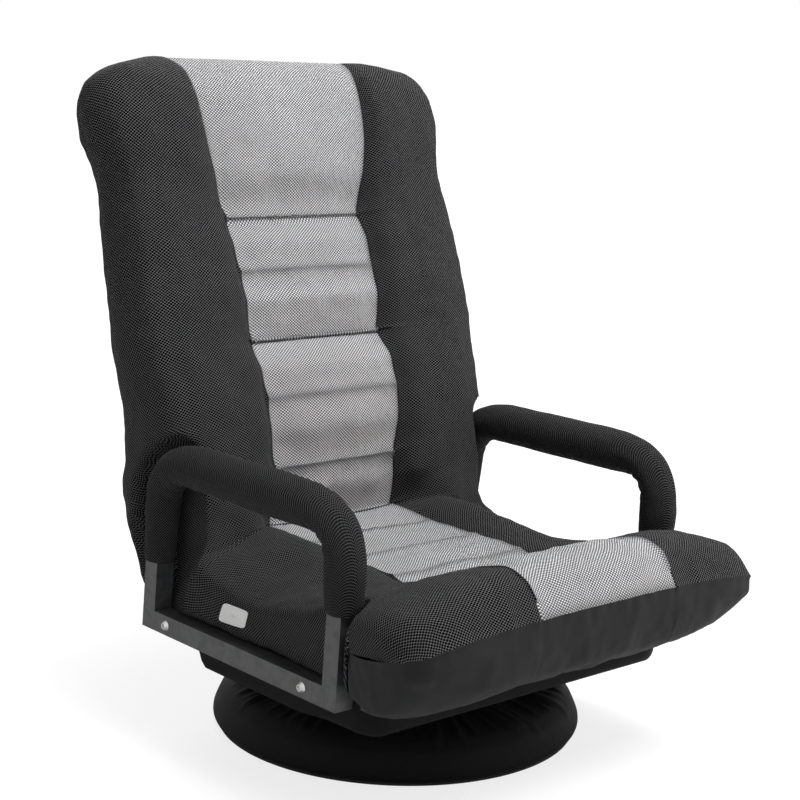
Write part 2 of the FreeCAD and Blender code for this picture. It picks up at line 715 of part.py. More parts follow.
def hinge_sector(name, side):
    """Toothed sector welded to the foot of the back frame's leg."""
    tip = size("sector_radius")
    steel = size("hinge_steel")
    x = plate_inner() - size("hinge_play") - steel if side > 0 else -plate_inner() + size("hinge_play")
    disc = Part.makeCylinder(tip, steel, Vector(x, 0, 0), Vector(1, 0, 0))
    bore = Part.makeCylinder(size("hinge_pin") / 2 + size("hinge_play"), steel, Vector(x, 0, 0), Vector(1, 0, 0))
    sector = disc.cut(bore)
    depth = size("tooth_depth")
    root = tip - depth
    for i in range(int(size("tooth_count"))):
        notch = slab([(-tip - 1, 1.5), (-root, 0.8), (-root, -2.4), (-tip - 1, -5.5)], x, steel)
        notch.rotate(Vector(), Vector(1, 0, 0), first_notch() + i * size("tooth_step"))
        sector = sector.cut(notch)
    return feature("hinge_sector_" + name, sector, lean())


def first_notch():
    """Angle of the first notch round the hinge axis, in the back's own frame."""
    return size("rest_recline") + 16


def hull(points):
    """Convex outline round points in the YZ plane."""
    points = sorted(set(points))
    halves = []
    for run in (points, points[::-1]):
        chain = []
        for p in run:
            while len(chain) > 1 and (
                (chain[-1][0] - chain[-2][0]) * (p[1] - chain[-2][1])
                <= (chain[-1][1] - chain[-2][1]) * (p[0] - chain[-2][0])
            ):
                chain.pop()
            chain.append(p)
        halves += chain[:-1]
    return halves


def pawl_lever(name, side):
    """Latch lever whose tip rides on the sector's teeth."""
    pivot = pawl_pivot()
    steel = size("hinge_steel")
    x = plate_inner() - size("hinge_play") - steel if side > 0 else -plate_inner() + size("hinge_play")
    angle = math.radians(PAWL_ANGLE)
    radial = Vector(0, math.cos(angle), math.sin(angle))
    across = Vector(0, -radial.z, radial.y)
    tip = hinge() + radial * (size("sector_radius") + size("hinge_play"))
    shoulders = [tip + radial * 6 + across * 3.5, tip + radial * 6 - across * 3]
    nose = [tip + across * 1.4, tip - across * 1.4, shoulders[1], shoulders[0]]
    eye_radius = size("pawl_pin") / 2 + 4
    eye = [
        (pivot.y + eye_radius * math.cos(k * math.pi / 4), pivot.z + eye_radius * math.sin(k * math.pi / 4))
        for k in range(8)
    ]
    arm = slab(hull(eye + [(p.y, p.z) for p in shoulders]), x, steel)
    lever = arm.fuse(slab([(p.y, p.z) for p in nose], x, steel)).removeSplitter()
    axis = Vector(1, 0, 0)
    bore = Part.makeCylinder(size("pawl_pin") / 2 + size("hinge_play"), steel, Vector(x, pivot.y, pivot.z), axis)
    hook = spring_hook()
    hook_hole = Part.makeCylinder(size("spring_wire") / 2 + 0.2, steel, Vector(x, hook.y, hook.z), axis)
    return feature("pawl_lever_" + name, lever.cut([bore, hook_hole]))


def pins(label, alias, centre, reach):
    """A pin on each side, through the hinge plate and on inward by a reach."""
    steel = size("hinge_steel")
    solids = []
    for _, side in SIDES:
        start = Vector(side * (plate_inner() + steel), centre.y, centre.z)
        solids.append(Part.makeCylinder(size(alias) / 2, steel + reach, start, Vector(-side, 0, 0)))
    return feature(label, Part.makeCompound(solids))


def spring_outer():
    """Distance from the middle plane of a pawl spring's turn next to the pawl."""
    return plate_inner() - size("hinge_play") - size("hinge_steel") - size("hinge_play") - size("spring_wire") / 2


def spring_hook():
    """Place in the pawl where the spring's end is hooked."""
    angle = math.radians(PAWL_ANGLE)
    tip = hinge() + Vector(0, math.cos(angle), math.sin(angle)) * (size("sector_radius") + 6)
    return pawl_pivot() + (tip - pawl_pivot()) * 0.62


def pawl_spring(name, side):
    """Torsion spring on the pawl pin: one end hooked in the pawl, the other on the rear cross tube."""
    pivot = pawl_pivot()
    wire = size("spring_wire") / 2
    turn_radius = size("pawl_pin") / 2 + size("hinge_play") + wire
    inward = Vector(-side, 0, 0)
    first = Vector(side * spring_outer(), pivot.y, pivot.z)
    pitch = 1.9 * wire
    turns = int(size("spring_turns"))
    sleeve = Part.makeCylinder(turn_radius + wire * 0.2, pitch * (turns - 1), first, inward)
    bore = Part.makeCylinder(turn_radius - wire * 0.4, pitch * (turns - 1), first, inward)
    spring = sleeve.cut(bore)
    for i in range(turns):
        spring = spring.fuse(Part.makeTorus(turn_radius, wire, first + inward * (pitch * i), inward))
    hook = Vector(first.x, spring_hook().y, spring_hook().z)
    to_hook = (hook - first).normalize()
    start = first + to_hook * turn_radius
    arm = Part.makeCylinder(wire, (hook - start).Length, start, to_hook)
    peg = Part.makeCylinder(wire, size("hinge_steel") + size("hinge_play"), hook, inward * -1)
    ball = Part.makeSphere(wire, hook)
    last = first + inward * (pitch * (turns - 1)) + Vector(0, wire, wire * 0.4 - turn_radius)
    tube_rear = size("rear_tube_at") + size("seat_tube") / 2 + size("hinge_play")
    tail = Part.makeCylinder(wire, last.y - tube_rear, last, Vector(0, -1, 0))
    for piece in (tail, arm, peg, ball):
        spring = spring.fuse(piece)
    return feature("pawl_spring_" + name, spring.removeSplitter())


# Back frame


def back_frame():
    """Bent round tube with two cross tubes, in the back's own frame."""
    half = leg_middle()
    top = size("back_frame_top")
    radius = size("back_tube") / 2
    foot = -size("sector_radius") * 0.4
    corners = [Vector(-half, 0, foot), Vector(-half, 0, top), Vector(half, 0, top), Vector(half, 0, foot)]
    left = bend(corners[0], corners[1], corners[2], size("back_bend"))
    right = bend(corners[1], corners[2], corners[3], size("back_bend"))
    path = Part.Wire([
        Part.LineSegment(corners[0], left[0]).toShape(),
        Part.Arc(*left).toShape(),
        Part.LineSegment(left[2], right[0]).toShape(),
        Part.Arc(*right).toShape(),
        Part.LineSegment(right[2], corners[3]).toShape(),
    ])

    def along(tube_radius):
        ring = Part.Wire(Part.makeCircle(tube_radius, corners[0], Vector(0, 0, 1)))
        return path.makePipeShell([ring], True, False)

    outer = along(radius)
    for level in (0.3, 0.66):
        height = top * level
        outer = outer.fuse(Part.makeCylinder(radius * 0.8, 2 * half, Vector(-half, 0, height), Vector(1, 0, 0)))
    frame = outer.cut(along(radius - size("tube_wall")))
    return feature("back_frame", frame, lean())


def back_webbing():
    """Straps across the front of the back frame."""
    half = leg_middle() + size("back_tube") * 0.3
    front = -size("back_tube") / 2 - size("strap_wall")
    straps = []
    for k in range(5):
        corner = Vector(-half, front, size("back_strap_low") + k * size("back_strap_pitch"))
        straps.append(Part.makeBox(2 * half, size("strap_wall"), size("strap_width"), corner))
    return feature("back_webbing", Part.makeCompound(straps), lean())


# Cushions: a section is a closed loop of arcs and lines in a plane of constant x


def loop_wire(x, points, sags):
    """A closed wire through points (x shift, y, z); an edge with a sag is an arc bulging to its right."""
    edges = []
    count = len(points)
    for i in range(count):
        a = Vector(x + points[i][0], points[i][1], points[i][2])
        b = Vector(x + points[(i + 1) % count][0], points[(i + 1) % count][1], points[(i + 1) % count][2])
        if sags[i] == 0:
            edges.append(Part.LineSegment(a, b).toShape())
            continue
        chord = b - a
        out = Vector(0, chord.z, -chord.y).normalize()
        edges.append(Part.Arc(a, (a + b) * 0.5 + out * sags[i], b).toShape())
    return Part.Wire(edges)


def master(stations, wire_of):
    """A solid lofted from the left side to the right through mirrored stations, innermost first."""
    left = [wire_of(i, -1) for i in range(len(stations) - 1, 0, -1)]
    right = [wire_of(i, 1) for i in range(len(stations))]
    return Part.makeLoft(left + right, True, True)


# Seat cushion profile from the rear crease over the top to the front and back under the lip:
# distance from the swivel axis, then the height over the cushion's underside at each station
SEAT_PROFILE = [
    (112, (75, 74, 135, 129, 107, 81, 63, 37)),
    (57, (70, 68, 110, 99, 76, 57, 43, 25)),
    (-22, (69, 67, 87, 78, 64, 51, 39, 23)),
    (-92, (68, 66, 74, 71, 61, 51, 40, 24)),
    (-124, (65, 64, 73, 72, 65, 57, 47, 29)),
    (-238, (114, 112, 106, 104, 100, 95, 87, 65)),
    (-292, (113, 111, 107, 103, 98, 91, 81, 59)),
    (-312, (79, 78, 76, 74, 71, 67, 62, 51)),
    (-303, (13, 14, 16, 19, 25, 30, 35, 41)),
    (-207.5, (-13, -13, -13, -12, -9, -3, 7, 25)),
    (-207.5, (0, 0, 0, 0, 0, 3, 9, 19)),
    (112, (0, 0, 0, 0, 0, 3, 9, 19)),
]
SEAT_BULGES = (4, 5, 5, 2, -5, 7, 7, 6, 3, 0, 0, 0)


def seat_stations():
    side = seat_half_width()
    panel = size("seat_panel")
    return [0, panel, panel + 34, panel + 69, side - 43, side - 25, side - 13, side + 1]


def seat_low():
    return number(f"{TUBE_LOW} + seat_tube + strap_wall")


def seat_master():
    """Outer shape of the seat cushion before its outline and the hinge's place are cut."""
    stations = seat_stations()

    def wire(i, sign):
        points = [(0, y, seat_low() + heights[i]) for y, heights in SEAT_PROFILE]
        return loop_wire(sign * stations[i], points, SEAT_BULGES)

    return master(stations, wire)


def seat_core():
    """The foam core: the same profile in straight lines, deeper by the padding."""
    pad = size("padding")
    stations = seat_stations()[:5] + [seat_half_width() - 29]
    depth = (pad, pad, pad, pad, pad * 1.3, pad * 2)
    ahead = (0, 0, 0, 0, 0, pad * 0.3, pad * 0.8, pad, pad, 0, 0, 0)

    def wire(i, sign):
        points = []
        for k, (y, heights) in enumerate(SEAT_PROFILE):
            if k == 10:
                continue
            height = heights[i]
            if k <= 6:
                height -= depth[i]
            if k == 8:
                height += pad
            if k >= 9:
                height = 0
            points.append((0, y + ahead[k], seat_low() + height))
        return loop_wire(sign * stations[i], points, [0] * len(points))

    return master(stations, wire)


def mirrored_outline(half, low, thickness_axis, thickness):
    """A prism over a symmetric outline: half lists its right side as points or arc middles."""
    edges = []
    for sign in (1, -1):
        run = half if sign > 0 else list(reversed(half))
        place_of = [Vector(sign * p[0], p[1], p[2]) for p, _ in run]
        kinds = [kind for _, kind in run]
        i = 0
        while i < len(run) - 1:
            if kinds[i + 1] == "arc":
                edges.append(Part.Arc(place_of[i], place_of[i + 1], place_of[i + 2]).toShape())
                i += 2
            else:
                edges.append(Part.LineSegment(place_of[i], place_of[i + 1]).toShape())
                i += 1
        if sign > 0 and half[-1][0][0] > 0:
            last = half[-1][0]
            edges.append(Part.LineSegment(Vector(*last), Vector(-last[0], last[1], last[2])).toShape())
    first = half[0][0]
    if first[0] > 0:
        edges.append(Part.LineSegment(Vector(-first[0], first[1], first[2]), Vector(*first)).toShape())
    face = Part.Face(Part.Wire(Part.__sortEdges__(edges)))
    face.translate(thickness_axis * low)
    return face.extrude(thickness_axis * thickness)


def seat_outline(inset):
    """The seat cushion seen from above: waisted at the arm posts, square at the front."""
    inner = arm_span() / 2 - size("arm_tube") / 2 - size("pad_size") / 2 - size("arm_room") - inset
    waist = seat_waist() - inset
    side = seat_half_width() - inset
    post_front = -size("arm_front") - size("front_lean") - size("pad_size") / 2
    post_rear = -size("arm_front") + size("pad_size") / 2
    rear_post = size("arm_rear") - size("rear_lean") - size("pad_size") / 2
    front = -318 + inset
    half = [
        ((inner, 125, 0), "line"),
        ((inner, rear_post - 10, 0), "line"),
        ((waist - 6, rear_post - 18, 0), "arc"),
        ((waist, rear_post - 38, 0), "line"),
        ((waist, post_rear + 28, 0), "line"),
        ((waist - 6, post_rear + 10, 0), "arc"),
        ((inner, post_rear + 1, 0), "line"),
        ((inner, post_front - 1, 0), "line"),
        ((side - 14, post_front - 9, 0), "arc"),
        ((side, post_front - 30, 0), "line"),
        ((side - 1, front + 26, 0), "line"),
        ((side - 7, front + 10, 0), "arc"),
        ((side - 24, front, 0), "line"),
    ]
    return mirrored_outline(half, 60, Vector(0, 0, 1), 300)


def crease_points(turn):
    """The crease between seat and back seen from the side, turned forward about the hinge axis."""
    roll = size("roll_radius")
    points = []
    for reach, angle in ((roll * 0.5, 78), (roll, 78), (roll + 16, 82), (roll + 36, 98), (roll + 58, 111), (roll + 160, 128)):
        a = math.radians(angle + turn)
        points.append((size("hinge_y") + reach * math.cos(a), size("hinge_z") + reach * math.sin(a)))
    return points


def crease_prism(turn, corners):
    """Everything on one side of the crease."""
    centre = (size("hinge_y"), size("hinge_z"))
    return slab([centre] + crease_points(turn) + corners, -400, 800)


def roll(radius, half):
    return Part.makeCylinder(radius, 2 * half, Vector(-half, size("hinge_y"), size("hinge_z")), Vector(1, 0, 0))


def seat_shape(shape, inset):
    """Cuts the seat's outline, the crease and the room for the back's roll."""
    turn = size("forward_travel") + size("fold_room")
    front_side = crease_prism(turn, [(-600, 700), (-600, -300), (size("hinge_y"), -300)])
    shape = shape.common(seat_outline(inset)).common(front_side)
    return shape.cut(roll(size("roll_radius") + size("cushion_play"), 400))


def seat_cushion():
    """Foam core and the four cover pieces round it."""
    outer = seat_shape(seat_master(), 0)
    core = seat_shape(seat_core(), size("padding"))
    cover = outer.cut(core)
    low = seat_low()
    border_line = [
        (-400, low + 78),
        (-285, low + 78),
        (-262, low + 30),
        (-207.5, low + 1),
        (-190, low - 40),
        (-400, low - 40),
    ]
    border_prism = slab(border_line, -400, 800)
    panel = size("seat_panel")
    panel_prism = Part.makeBox(2 * panel, 800, 400, Vector(-panel, -500, 0)).cut(border_prism)
    feature("seat_foam", core)
    feature("seat_front_border", cover.common(border_prism))
    feature("seat_center_panel", cover.common(panel_prism))
    sides = cover.cut(border_prism).cut(panel_prism)
    for name, side in SIDES:
        half_space = Part.makeBox(400, 900, 500, Vector(0 if side > 0 else -400, -500, 0))
        feature("seat_side_cover_" + name, sides.common(half_space))


def side_tag():
    """Blank white cloth tag sewn to the seat's right side."""
    tag = Part.makeBox(size("tag_cloth"), size("tag_width"), size("tag_height"))
    x = -seat_waist() - size("tag_cloth")
    return feature("side_tag", tag, Placement(Vector(x, -18, 147), Rotation(Vector(1, 0, 0), -4)))


# Back cushion profile from the top over the front down to the roll and up the rear:
# height over the hinge axis, half width of the grey panel, then for each station the distance
# forward of the seam plane (front) or behind the hinge axis (rear)
BACK_FRONT = [
    (612, 128, (-14, -14, -12, -12, -12, -12, -12, -14)),
    (590, 123, (9, 8, 30, 28, 22, 12, 0, -12)),
    (419, 100.5, (-1, -2, 36, 38, 33, 22, 8, -8)),
    (354, 98.5, (13, 12, 42, 41, 35, 24, 9, -8)),
    (277, 96, (1, 0, 37, 39, 34, 23, 9, -8)),
    (208, 96.5, (22, 21, 42, 41, 35, 24, 9, -8)),
    (132, 92, (1, 0, 34, 36, 32, 22, 8, -8)),
    (40, 92, (-20, -19, 32, 33, 29, 18, 4, -10)),
    (0, 92, (-20, -19, 20, 20, 18, 10, 0, -12)),
]
BACK_REAR = [
    (0, 92, (60, 60, 60, 60, 58, 52, 44, 30)),
    (141, 92, (60, 60, 66, 66, 61, 50, 36, 16)),
    (265, 96, (32, 32, 32, 32, 27, 16, 0, -14)),
    (402, 100, (26, 26, 26, 26, 21, 10, -5, -16)),
    (590, 123, (18, 18, 18, 18, 15, 7, -4, -12)),
]
PANEL_BULGES = (6, 13, 6, 6, 6, 6, 5, 0, 0, 0, 0, 0, 2, 5)
BOLSTER_BULGES = (6, 8, 3, 3, 3, 3, 2, 0, 0, 0, 0, 0, 2, 5)


def back_stations():
    side = back_half_width()
    return [0, None, side - 89, side - 45, side - 24, side - 11, side - 3, side + 4]


def back_points(i, sign, front_inset=0.0, rear_inset=0.0):
    """Points of one section of the back in its own frame, as x, y, height."""
    stations = back_stations()
    points = []
    for height, panel, offsets in BACK_FRONT:
        x = panel if stations[i] is None else stations[i]
        points.append((sign * x, -size("seam_depth") - offsets[i] + front_inset, height))
    for height, panel, offsets in BACK_REAR:
        x = panel if stations[i] is None else stations[i]
        points.append((sign * x, offsets[i] - rear_inset, height))
    return points


def back_master():
    def wire(i, sign):
        bulges = PANEL_BULGES if i < 2 else BOLSTER_BULGES
        return loop_wire(0, back_points(i, sign), bulges)

    return master(back_stations(), wire)


def back_core():
    """Foam core of the back in straight lines, deeper by the padding."""
    pad = size("padding")

    def wire(i, sign):
        points = back_points(i, sign, pad * (1 + 0.4 * (i == 4)), pad)
        points = [(x, y, min(height, 612 - pad * 1.2)) for x, y, height in points]
        x, y, height = points[-1]
        points[-1] = (x, y, height - pad)
        return loop_wire(0, points, [0] * len(points))

    return master(back_stations()[:5], wire)


def back_outline(inset):
    """The back seen from the front: rounded top corners, wider at the head and below the arms' top."""
    side = back_half_width() - inset
    top = 612 - inset
    half = [
        ((side, 0, -90), "line"),
        ((side + 1, 0, 290), "line"),
        ((side - 7, 0, 380), "arc"),
        ((side - 8, 0, 466), "line"),
        ((side + 3, 0, 528), "arc"),
        ((side - 14, 0, 575), "line"),
        ((side - 26, 0, 592), "arc"),
        ((side - 56, 0, 603 - inset), "line"),
        ((side - 130, 0, top), "line"),
    ]
    return mirrored_outline(half, -200, Vector(0, 1, 0), 400)


def arm_notch(inset):
    """Room beside the arm posts, for the whole travel of the back, in the back's own frame."""
    inner = arm_span() / 2 - size("arm_tube") / 2 - size("pad_size") / 2 - size("arm_room") - inset
    forward = Placement(hinge(), Rotation(Vector(1, 0, 0), size("forward_travel") - size("rest_recline"))).inverse()
    room = size("pad_size") / 2 + size("arm_room") + inset
    corners = arm_path()
    start = bend(corners[0], corners[1], corners[2], size("rear_bend"))[0]
    up = (corners[1] - corners[0]).normalize()
    ahead = Vector(0, -up.z, up.y)
    centre = start + ahead * size("rear_bend")
    low_end = start - up * (start.z - size("pad_low_rear"))
    rounding = []
    for k in range(7):
        a = math.radians(15 * k)
        rounding.append(centre + (up * math.sin(a) - ahead * math.cos(a)) * (size("rear_bend") + room))
    profile = [forward.multVec(p) for p in [low_end - ahead * room] + rounding]
    outline = [(profile[0].y, size("side_foot"))] + [(p.y, p.z) for p in profile]
    outline += [(-150, profile[-1].z + 4), (-150, -100), (100, -100), (100, 20)]
    right = slab(outline, inner, 200)
    left = slab(outline, -inner - 200, 200)
    return right.fuse(left)


def back_shape(shape, inset):
    """Cuts the back's outline, the crease, the arms' room and the room for the hinges."""
    to_world = lean()
    rear_side = crease_prism(0, [(-300, 1100), (900, 1100), (900, -300), (size("hinge_y"), -300)])
    rear_side.Placement = to_world.inverse().multiply(rear_side.Placement)
    shape = shape.common(back_outline(inset)).common(rear_side)
    shape = shape.cut(arm_notch(inset))
    free = size("roll_radius") + 1
    half = roll_half_width()
    hinge_room = Part.makeCylinder(free, 200, Vector(half + 2, 0, 0), Vector(1, 0, 0))
    other = Part.makeCylinder(free, 200, Vector(-half - 202, 0, 0), Vector(1, 0, 0))
    shape = shape.cut(hinge_room).cut(other)
    return shape.cut(back_roll(0))


def back_roll(inset):
    """The cushion roll round the hinge axis, or its core."""
    half = roll_half_width() - inset
    return Part.makeCylinder(size("roll_radius") - inset, 2 * half, Vector(-half, 0, 0), Vector(1, 0, 0))


def back_cushion():
    """Foam core with its slot for the frame, and the cover pieces round it."""
    pad = size("padding")
    outer = back_shape(back_master(), 0)
    core = back_shape(back_core(), pad)
    cover = outer.cut(core)
    tube = size("back_tube") / 2
    slot_half = leg_middle() + tube + size("hinge_steel") + 1
    slot = Part.makeBox(2 * slot_half, 2 * tube + size("strap_wall") + 0.6, size("back_frame_top") + tube + 200,
                        Vector(-slot_half, -tube - size("strap_wall") - 0.3, -198))
    feature("back_foam", core.cut(slot), lean())
    feature("back_roll_foam", back_roll(pad / 2), lean())
    feature("back_roll_cover", back_roll(0).cut(back_roll(pad / 2)), lean())
    widths = [(panel, 0, height) for height, panel, _ in BACK_FRONT]
    right = [(x, 0, z) for x, _, z in widths] + [(widths[-1][0], 0, -90)]
    left = [(-x, 0, z) for x, _, z in reversed(right)]
    top = [(-widths[0][0], 0, 700), (widths[0][0], 0, 700)]
    outline = Part.makePolygon([Vector(*p) for p in right + left + top + right[:1]])
    panel_prism = Part.Face(outline)
    panel_prism.translate(Vector(0, -200, 0))
    panel_prism = panel_prism.extrude(Vector(0, 200, 0))
    rear_box = Part.makeBox(2 * (back_half_width() - 45), 200, 900,
                            Vector(-back_half_width() + 45, 0, -100))
    feature("back_center_panel", cover.common(panel_prism), lean())
    feature("back_rear_cover", cover.common(rear_box), lean())
    sides = cover.cut(panel_prism).cut(rear_box)
    for name, side in SIDES:
        half_space = Part.makeBox(400, 600, 900, Vector(0 if side > 0 else -400, -300, -100))
        feature("back_bolster_" + name, sides.common(half_space), lean())


# Assembly


def build():
    base_ring_tube()
    floor_ring()
    base_pan()
    base_cover()
    lower_swivel_plate()
    swivel_balls()
    ball_cage()
    swivel_pivot()
    base_bolts()
    upper_swivel_plate()
    swivel_bolts()
    cross_bars()
    seat_frame()
    seat_webbing()
    seat_tray()
    arm_bolts()
    for name, side in SIDES:
        arm_frame(name, side)
        arm_foam(name, side)
        arm_sleeve(name, side)
        hinge_plate(name, side)
        hinge_sector(name, side)
        pawl_lever(name, side)
        pawl_spring(name, side)
    steel = size("hinge_steel")
    play = size("hinge_play")
    pins("hinge_pins", "hinge_pin", hinge(), steel + play / 2)
    pins("pawl_pins", "pawl_pin", pawl_pivot(), steel + 2 * play + size("spring_wire") * size("spring_turns"))
    back_frame()
    back_webbing()
    seat_cushion()
    side_tag()
    back_cushion()


NODES = [
    "base_ring_tube", "floor_ring", "base_pan", "base_cover", "lower_swivel_plate", "swivel_balls", "ball_cage",
    "swivel_pivot", "base_bolts", "upper_swivel_plate", "swivel_bolts", "cross_bars", "seat_frame", "seat_webbing",
    "seat_tray", "arm_frame_r", "arm_frame_l", "arm_foam_r", "arm_foam_l", "arm_sleeve_r", "arm_sleeve_l",
    "arm_bolts", "hinge_plate_r", "hinge_plate_l", "hinge_sector_r", "hinge_sector_l", "pawl_lever_r",
    "pawl_lever_l", "pawl_spring_r", "pawl_spring_l", "hinge_pins", "pawl_pins", "back_frame", "back_webbing",
    "seat_foam", "seat_front_border", "seat_center_panel", "seat_side_cover_r", "seat_side_cover_l", "side_tag",
    "back_foam", "back_center_panel", "back_rear_cover", "back_bolster_r", "back_bolster_l", "back_roll_foam",
    "back_roll_cover",
]


def export():
    """Checks every object, then writes each sub-part to its own file."""
    document.recompute()
    for item in document.Objects:
        if {"Invalid", "Error"} & set(item.State):
            raise RuntimeError("failed object: " + item.Label)
    shapes = {}
    for label in NODES:
        (item,) = document.getObjectsByLabel(label)
        shape = item.Shape
        if shape.isNull() or not shape.isValid() or not shape.Solids:
            raise RuntimeError("unsound shape: " + label)
        shapes[label] = shape
    os.makedirs("parts", exist_ok=True)
    for label, shape in shapes.items():
        shape.exportStep("parts/" + label + ".step")
        print(label, len(shape.Solids), round(shape.Volume / 1000, 1))


build()
export()
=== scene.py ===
import json
import math
import bpy
import numpy as np
from mathutils import Matrix, Vector, noise

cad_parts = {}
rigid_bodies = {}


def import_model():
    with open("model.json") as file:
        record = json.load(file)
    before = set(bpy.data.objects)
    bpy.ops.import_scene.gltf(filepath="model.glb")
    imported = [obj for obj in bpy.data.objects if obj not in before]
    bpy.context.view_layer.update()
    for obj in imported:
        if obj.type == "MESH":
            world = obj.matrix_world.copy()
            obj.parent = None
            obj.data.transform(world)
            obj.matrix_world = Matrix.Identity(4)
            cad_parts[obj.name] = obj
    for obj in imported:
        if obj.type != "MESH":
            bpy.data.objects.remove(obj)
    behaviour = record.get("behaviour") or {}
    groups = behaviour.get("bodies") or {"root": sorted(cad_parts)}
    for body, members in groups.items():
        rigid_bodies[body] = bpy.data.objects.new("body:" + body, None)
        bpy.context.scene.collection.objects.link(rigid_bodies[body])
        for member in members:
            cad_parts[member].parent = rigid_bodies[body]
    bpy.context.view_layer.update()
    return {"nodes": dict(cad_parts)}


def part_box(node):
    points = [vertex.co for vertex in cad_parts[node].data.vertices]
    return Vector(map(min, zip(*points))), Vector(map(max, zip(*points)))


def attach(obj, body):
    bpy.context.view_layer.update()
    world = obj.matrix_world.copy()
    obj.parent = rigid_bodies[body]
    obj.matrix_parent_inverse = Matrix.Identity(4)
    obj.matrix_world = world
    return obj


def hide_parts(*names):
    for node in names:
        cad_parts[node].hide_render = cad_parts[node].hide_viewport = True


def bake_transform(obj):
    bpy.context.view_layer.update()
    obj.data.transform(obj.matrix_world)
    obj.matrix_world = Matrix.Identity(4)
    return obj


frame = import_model()
nodes = frame["nodes"]
MM = 0.001


class Graph:
    """A material's node tree with short ways of adding nodes."""

    def __init__(self, name):
        self.material = bpy.data.materials.new(name)
        self.material.use_nodes = True
        self.tree = self.material.node_tree
        self.shader = self.tree.nodes["Principled BSDF"]

    def node(self, kind, **props):
        item = self.tree.nodes.new("ShaderNode" + kind)
        for key, value in props.items():
            setattr(item, key, value)
        return item

    def link(self, source, target):
        self.tree.links.new(source, target)

    def fill(self, item, values):
        """Sets or links a node's first inputs; None leaves an input alone."""
        for slot, value in enumerate(values):
            if isinstance(value, (int, float, tuple)):
                item.inputs[slot].default_value = value
            elif value is not None:
                self.link(value, item.inputs[slot])
        return item.outputs

    def math(self, operation, a, b=None, clamp=False):
        item = self.node("Math", operation=operation, use_clamp=clamp)
        return self.fill(item, (a, b))[0]

    def vector(self, operation, a, b=None):
        outputs = self.fill(self.node("VectorMath", operation=operation), (a, b))
        return outputs["Value"] if operation in ("LENGTH", "DOT_PRODUCT") else outputs[0]

    def ramp(self, value, low, high, to_low=0.0, to_high=1.0):
        item = self.node("MapRange", interpolation_type="SMOOTHSTEP")
        self.link(value, item.inputs["Value"])
        item.inputs["From Min"].default_value = low
        item.inputs["From Max"].default_value = high
        item.inputs["To Min"].default_value = to_low
        item.inputs["To Max"].default_value = to_high
        return item.outputs[0]

    def noise(self, coordinates, scale, detail=3.0, rough=0.55, output=0):
        item = self.node("TexNoise")
        item.inputs["Scale"].default_value = scale
        item.inputs["Detail"].default_value = detail
        item.inputs["Roughness"].default_value = rough
        self.link(coordinates, item.inputs["Vector"])
        return item.outputs[output]

    def mix(self, share, a, b):
        item = self.node("Mix", data_type="RGBA")
        self.link(share, item.inputs["Factor"])
        for slot, value in ((6, a), (7, b)):
            if isinstance(value, tuple):
                item.inputs[slot].default_value = (*value, 1)
            else:
                self.link(value, item.inputs[slot])
        return item.outputs[2]

    def uv(self):
        return self.node("UVMap", uv_map="metric").outputs[0]

    def place(self):
        return self.node("TexCoord").outputs["Object"]

    def set(self, **values):
        for key, value in values.items():
            self.shader.inputs[key.replace("_", " ")].default_value = value

    def finish(self, colour, roughness, height, depth, strength=1.0):
        self.link(colour, self.shader.inputs["Base Color"])
        self.link(roughness, self.shader.inputs["Roughness"])
        bump = self.node("Bump")
        bump.inputs["Strength"].default_value = strength
        bump.inputs["Distance"].default_value = depth
        self.link(height, bump.inputs["Height"])
        self.link(bump.outputs[0], self.shader.inputs["Normal"])
        return self.material


# Camera, lights and floor

CAMERA_PLACE = (-1.2697, -1.4281, 0.7205)
CAMERA_TURN, CAMERA_TILT, CAMERA_ROLL = -41.43, 10.54, 1.98
FOCAL_PIXELS, FRAME_PIXELS, SENSOR_MM = 1769.2, 800, 36
LAMPS = (
    ("key", (0.5, -1.25, 3.1), (0, 0, 0.3), 1.7, 106),
    ("fill", (-2.2, -2.2, 1.3), (0, 0, 0.3), 1.8, 2.5),
    ("side", (2.4, -1.4, 1.6), (0, 0, 0.3), 1.8, 18),
    ("rim", (0.9, 2.3, 2.2), (0, 0, 0.4), 1.6, 30),
)
SURROUND_LIGHT = 0.29
FLOOR_HALF = 30
FLOOR_GLOW = 1.25
GLOW_FROM, GLOW_TO, LEAST_GLOW = 0.25, 0.9, 0.62


def add_camera():
    """Camera fitted to the photograph's viewing angle."""
    turn, tilt, roll = (math.radians(a) for a in (CAMERA_TURN, CAMERA_TILT, CAMERA_ROLL))
    back = Vector((math.sin(turn) * math.cos(tilt), -math.cos(turn) * math.cos(tilt), math.sin(tilt)))
    right = Vector((math.cos(turn), math.sin(turn), 0))
    up = back.cross(right)
    rolled_right = right * math.cos(roll) + up * math.sin(roll)
    rolled_up = up * math.cos(roll) - right * math.sin(roll)
    data = bpy.data.cameras.new("camera")
    data.lens = FOCAL_PIXELS * SENSOR_MM / FRAME_PIXELS
    data.sensor_width = SENSOR_MM
    data.clip_start = 0.05
    camera = bpy.data.objects.new("camera", data)
    place = Matrix((rolled_right, rolled_up, back)).transposed().to_4x4()
    place.translation = Vector(CAMERA_PLACE)
    camera.matrix_world = place
    bpy.context.collection.objects.link(camera)
    bpy.context.scene.camera = camera


def add_lamp(name, place, aim, width, watts):
    data = bpy.data.lights.new(name, "AREA")
    data.shape = "SQUARE"
    data.size = width
    data.energy = watts
    lamp = bpy.data.objects.new(name, data)
    lamp.location = place
    lamp.rotation_euler = (Vector(aim) - Vector(place)).to_track_quat("-Z", "Y").to_euler()
    bpy.context.collection.objects.link(lamp)


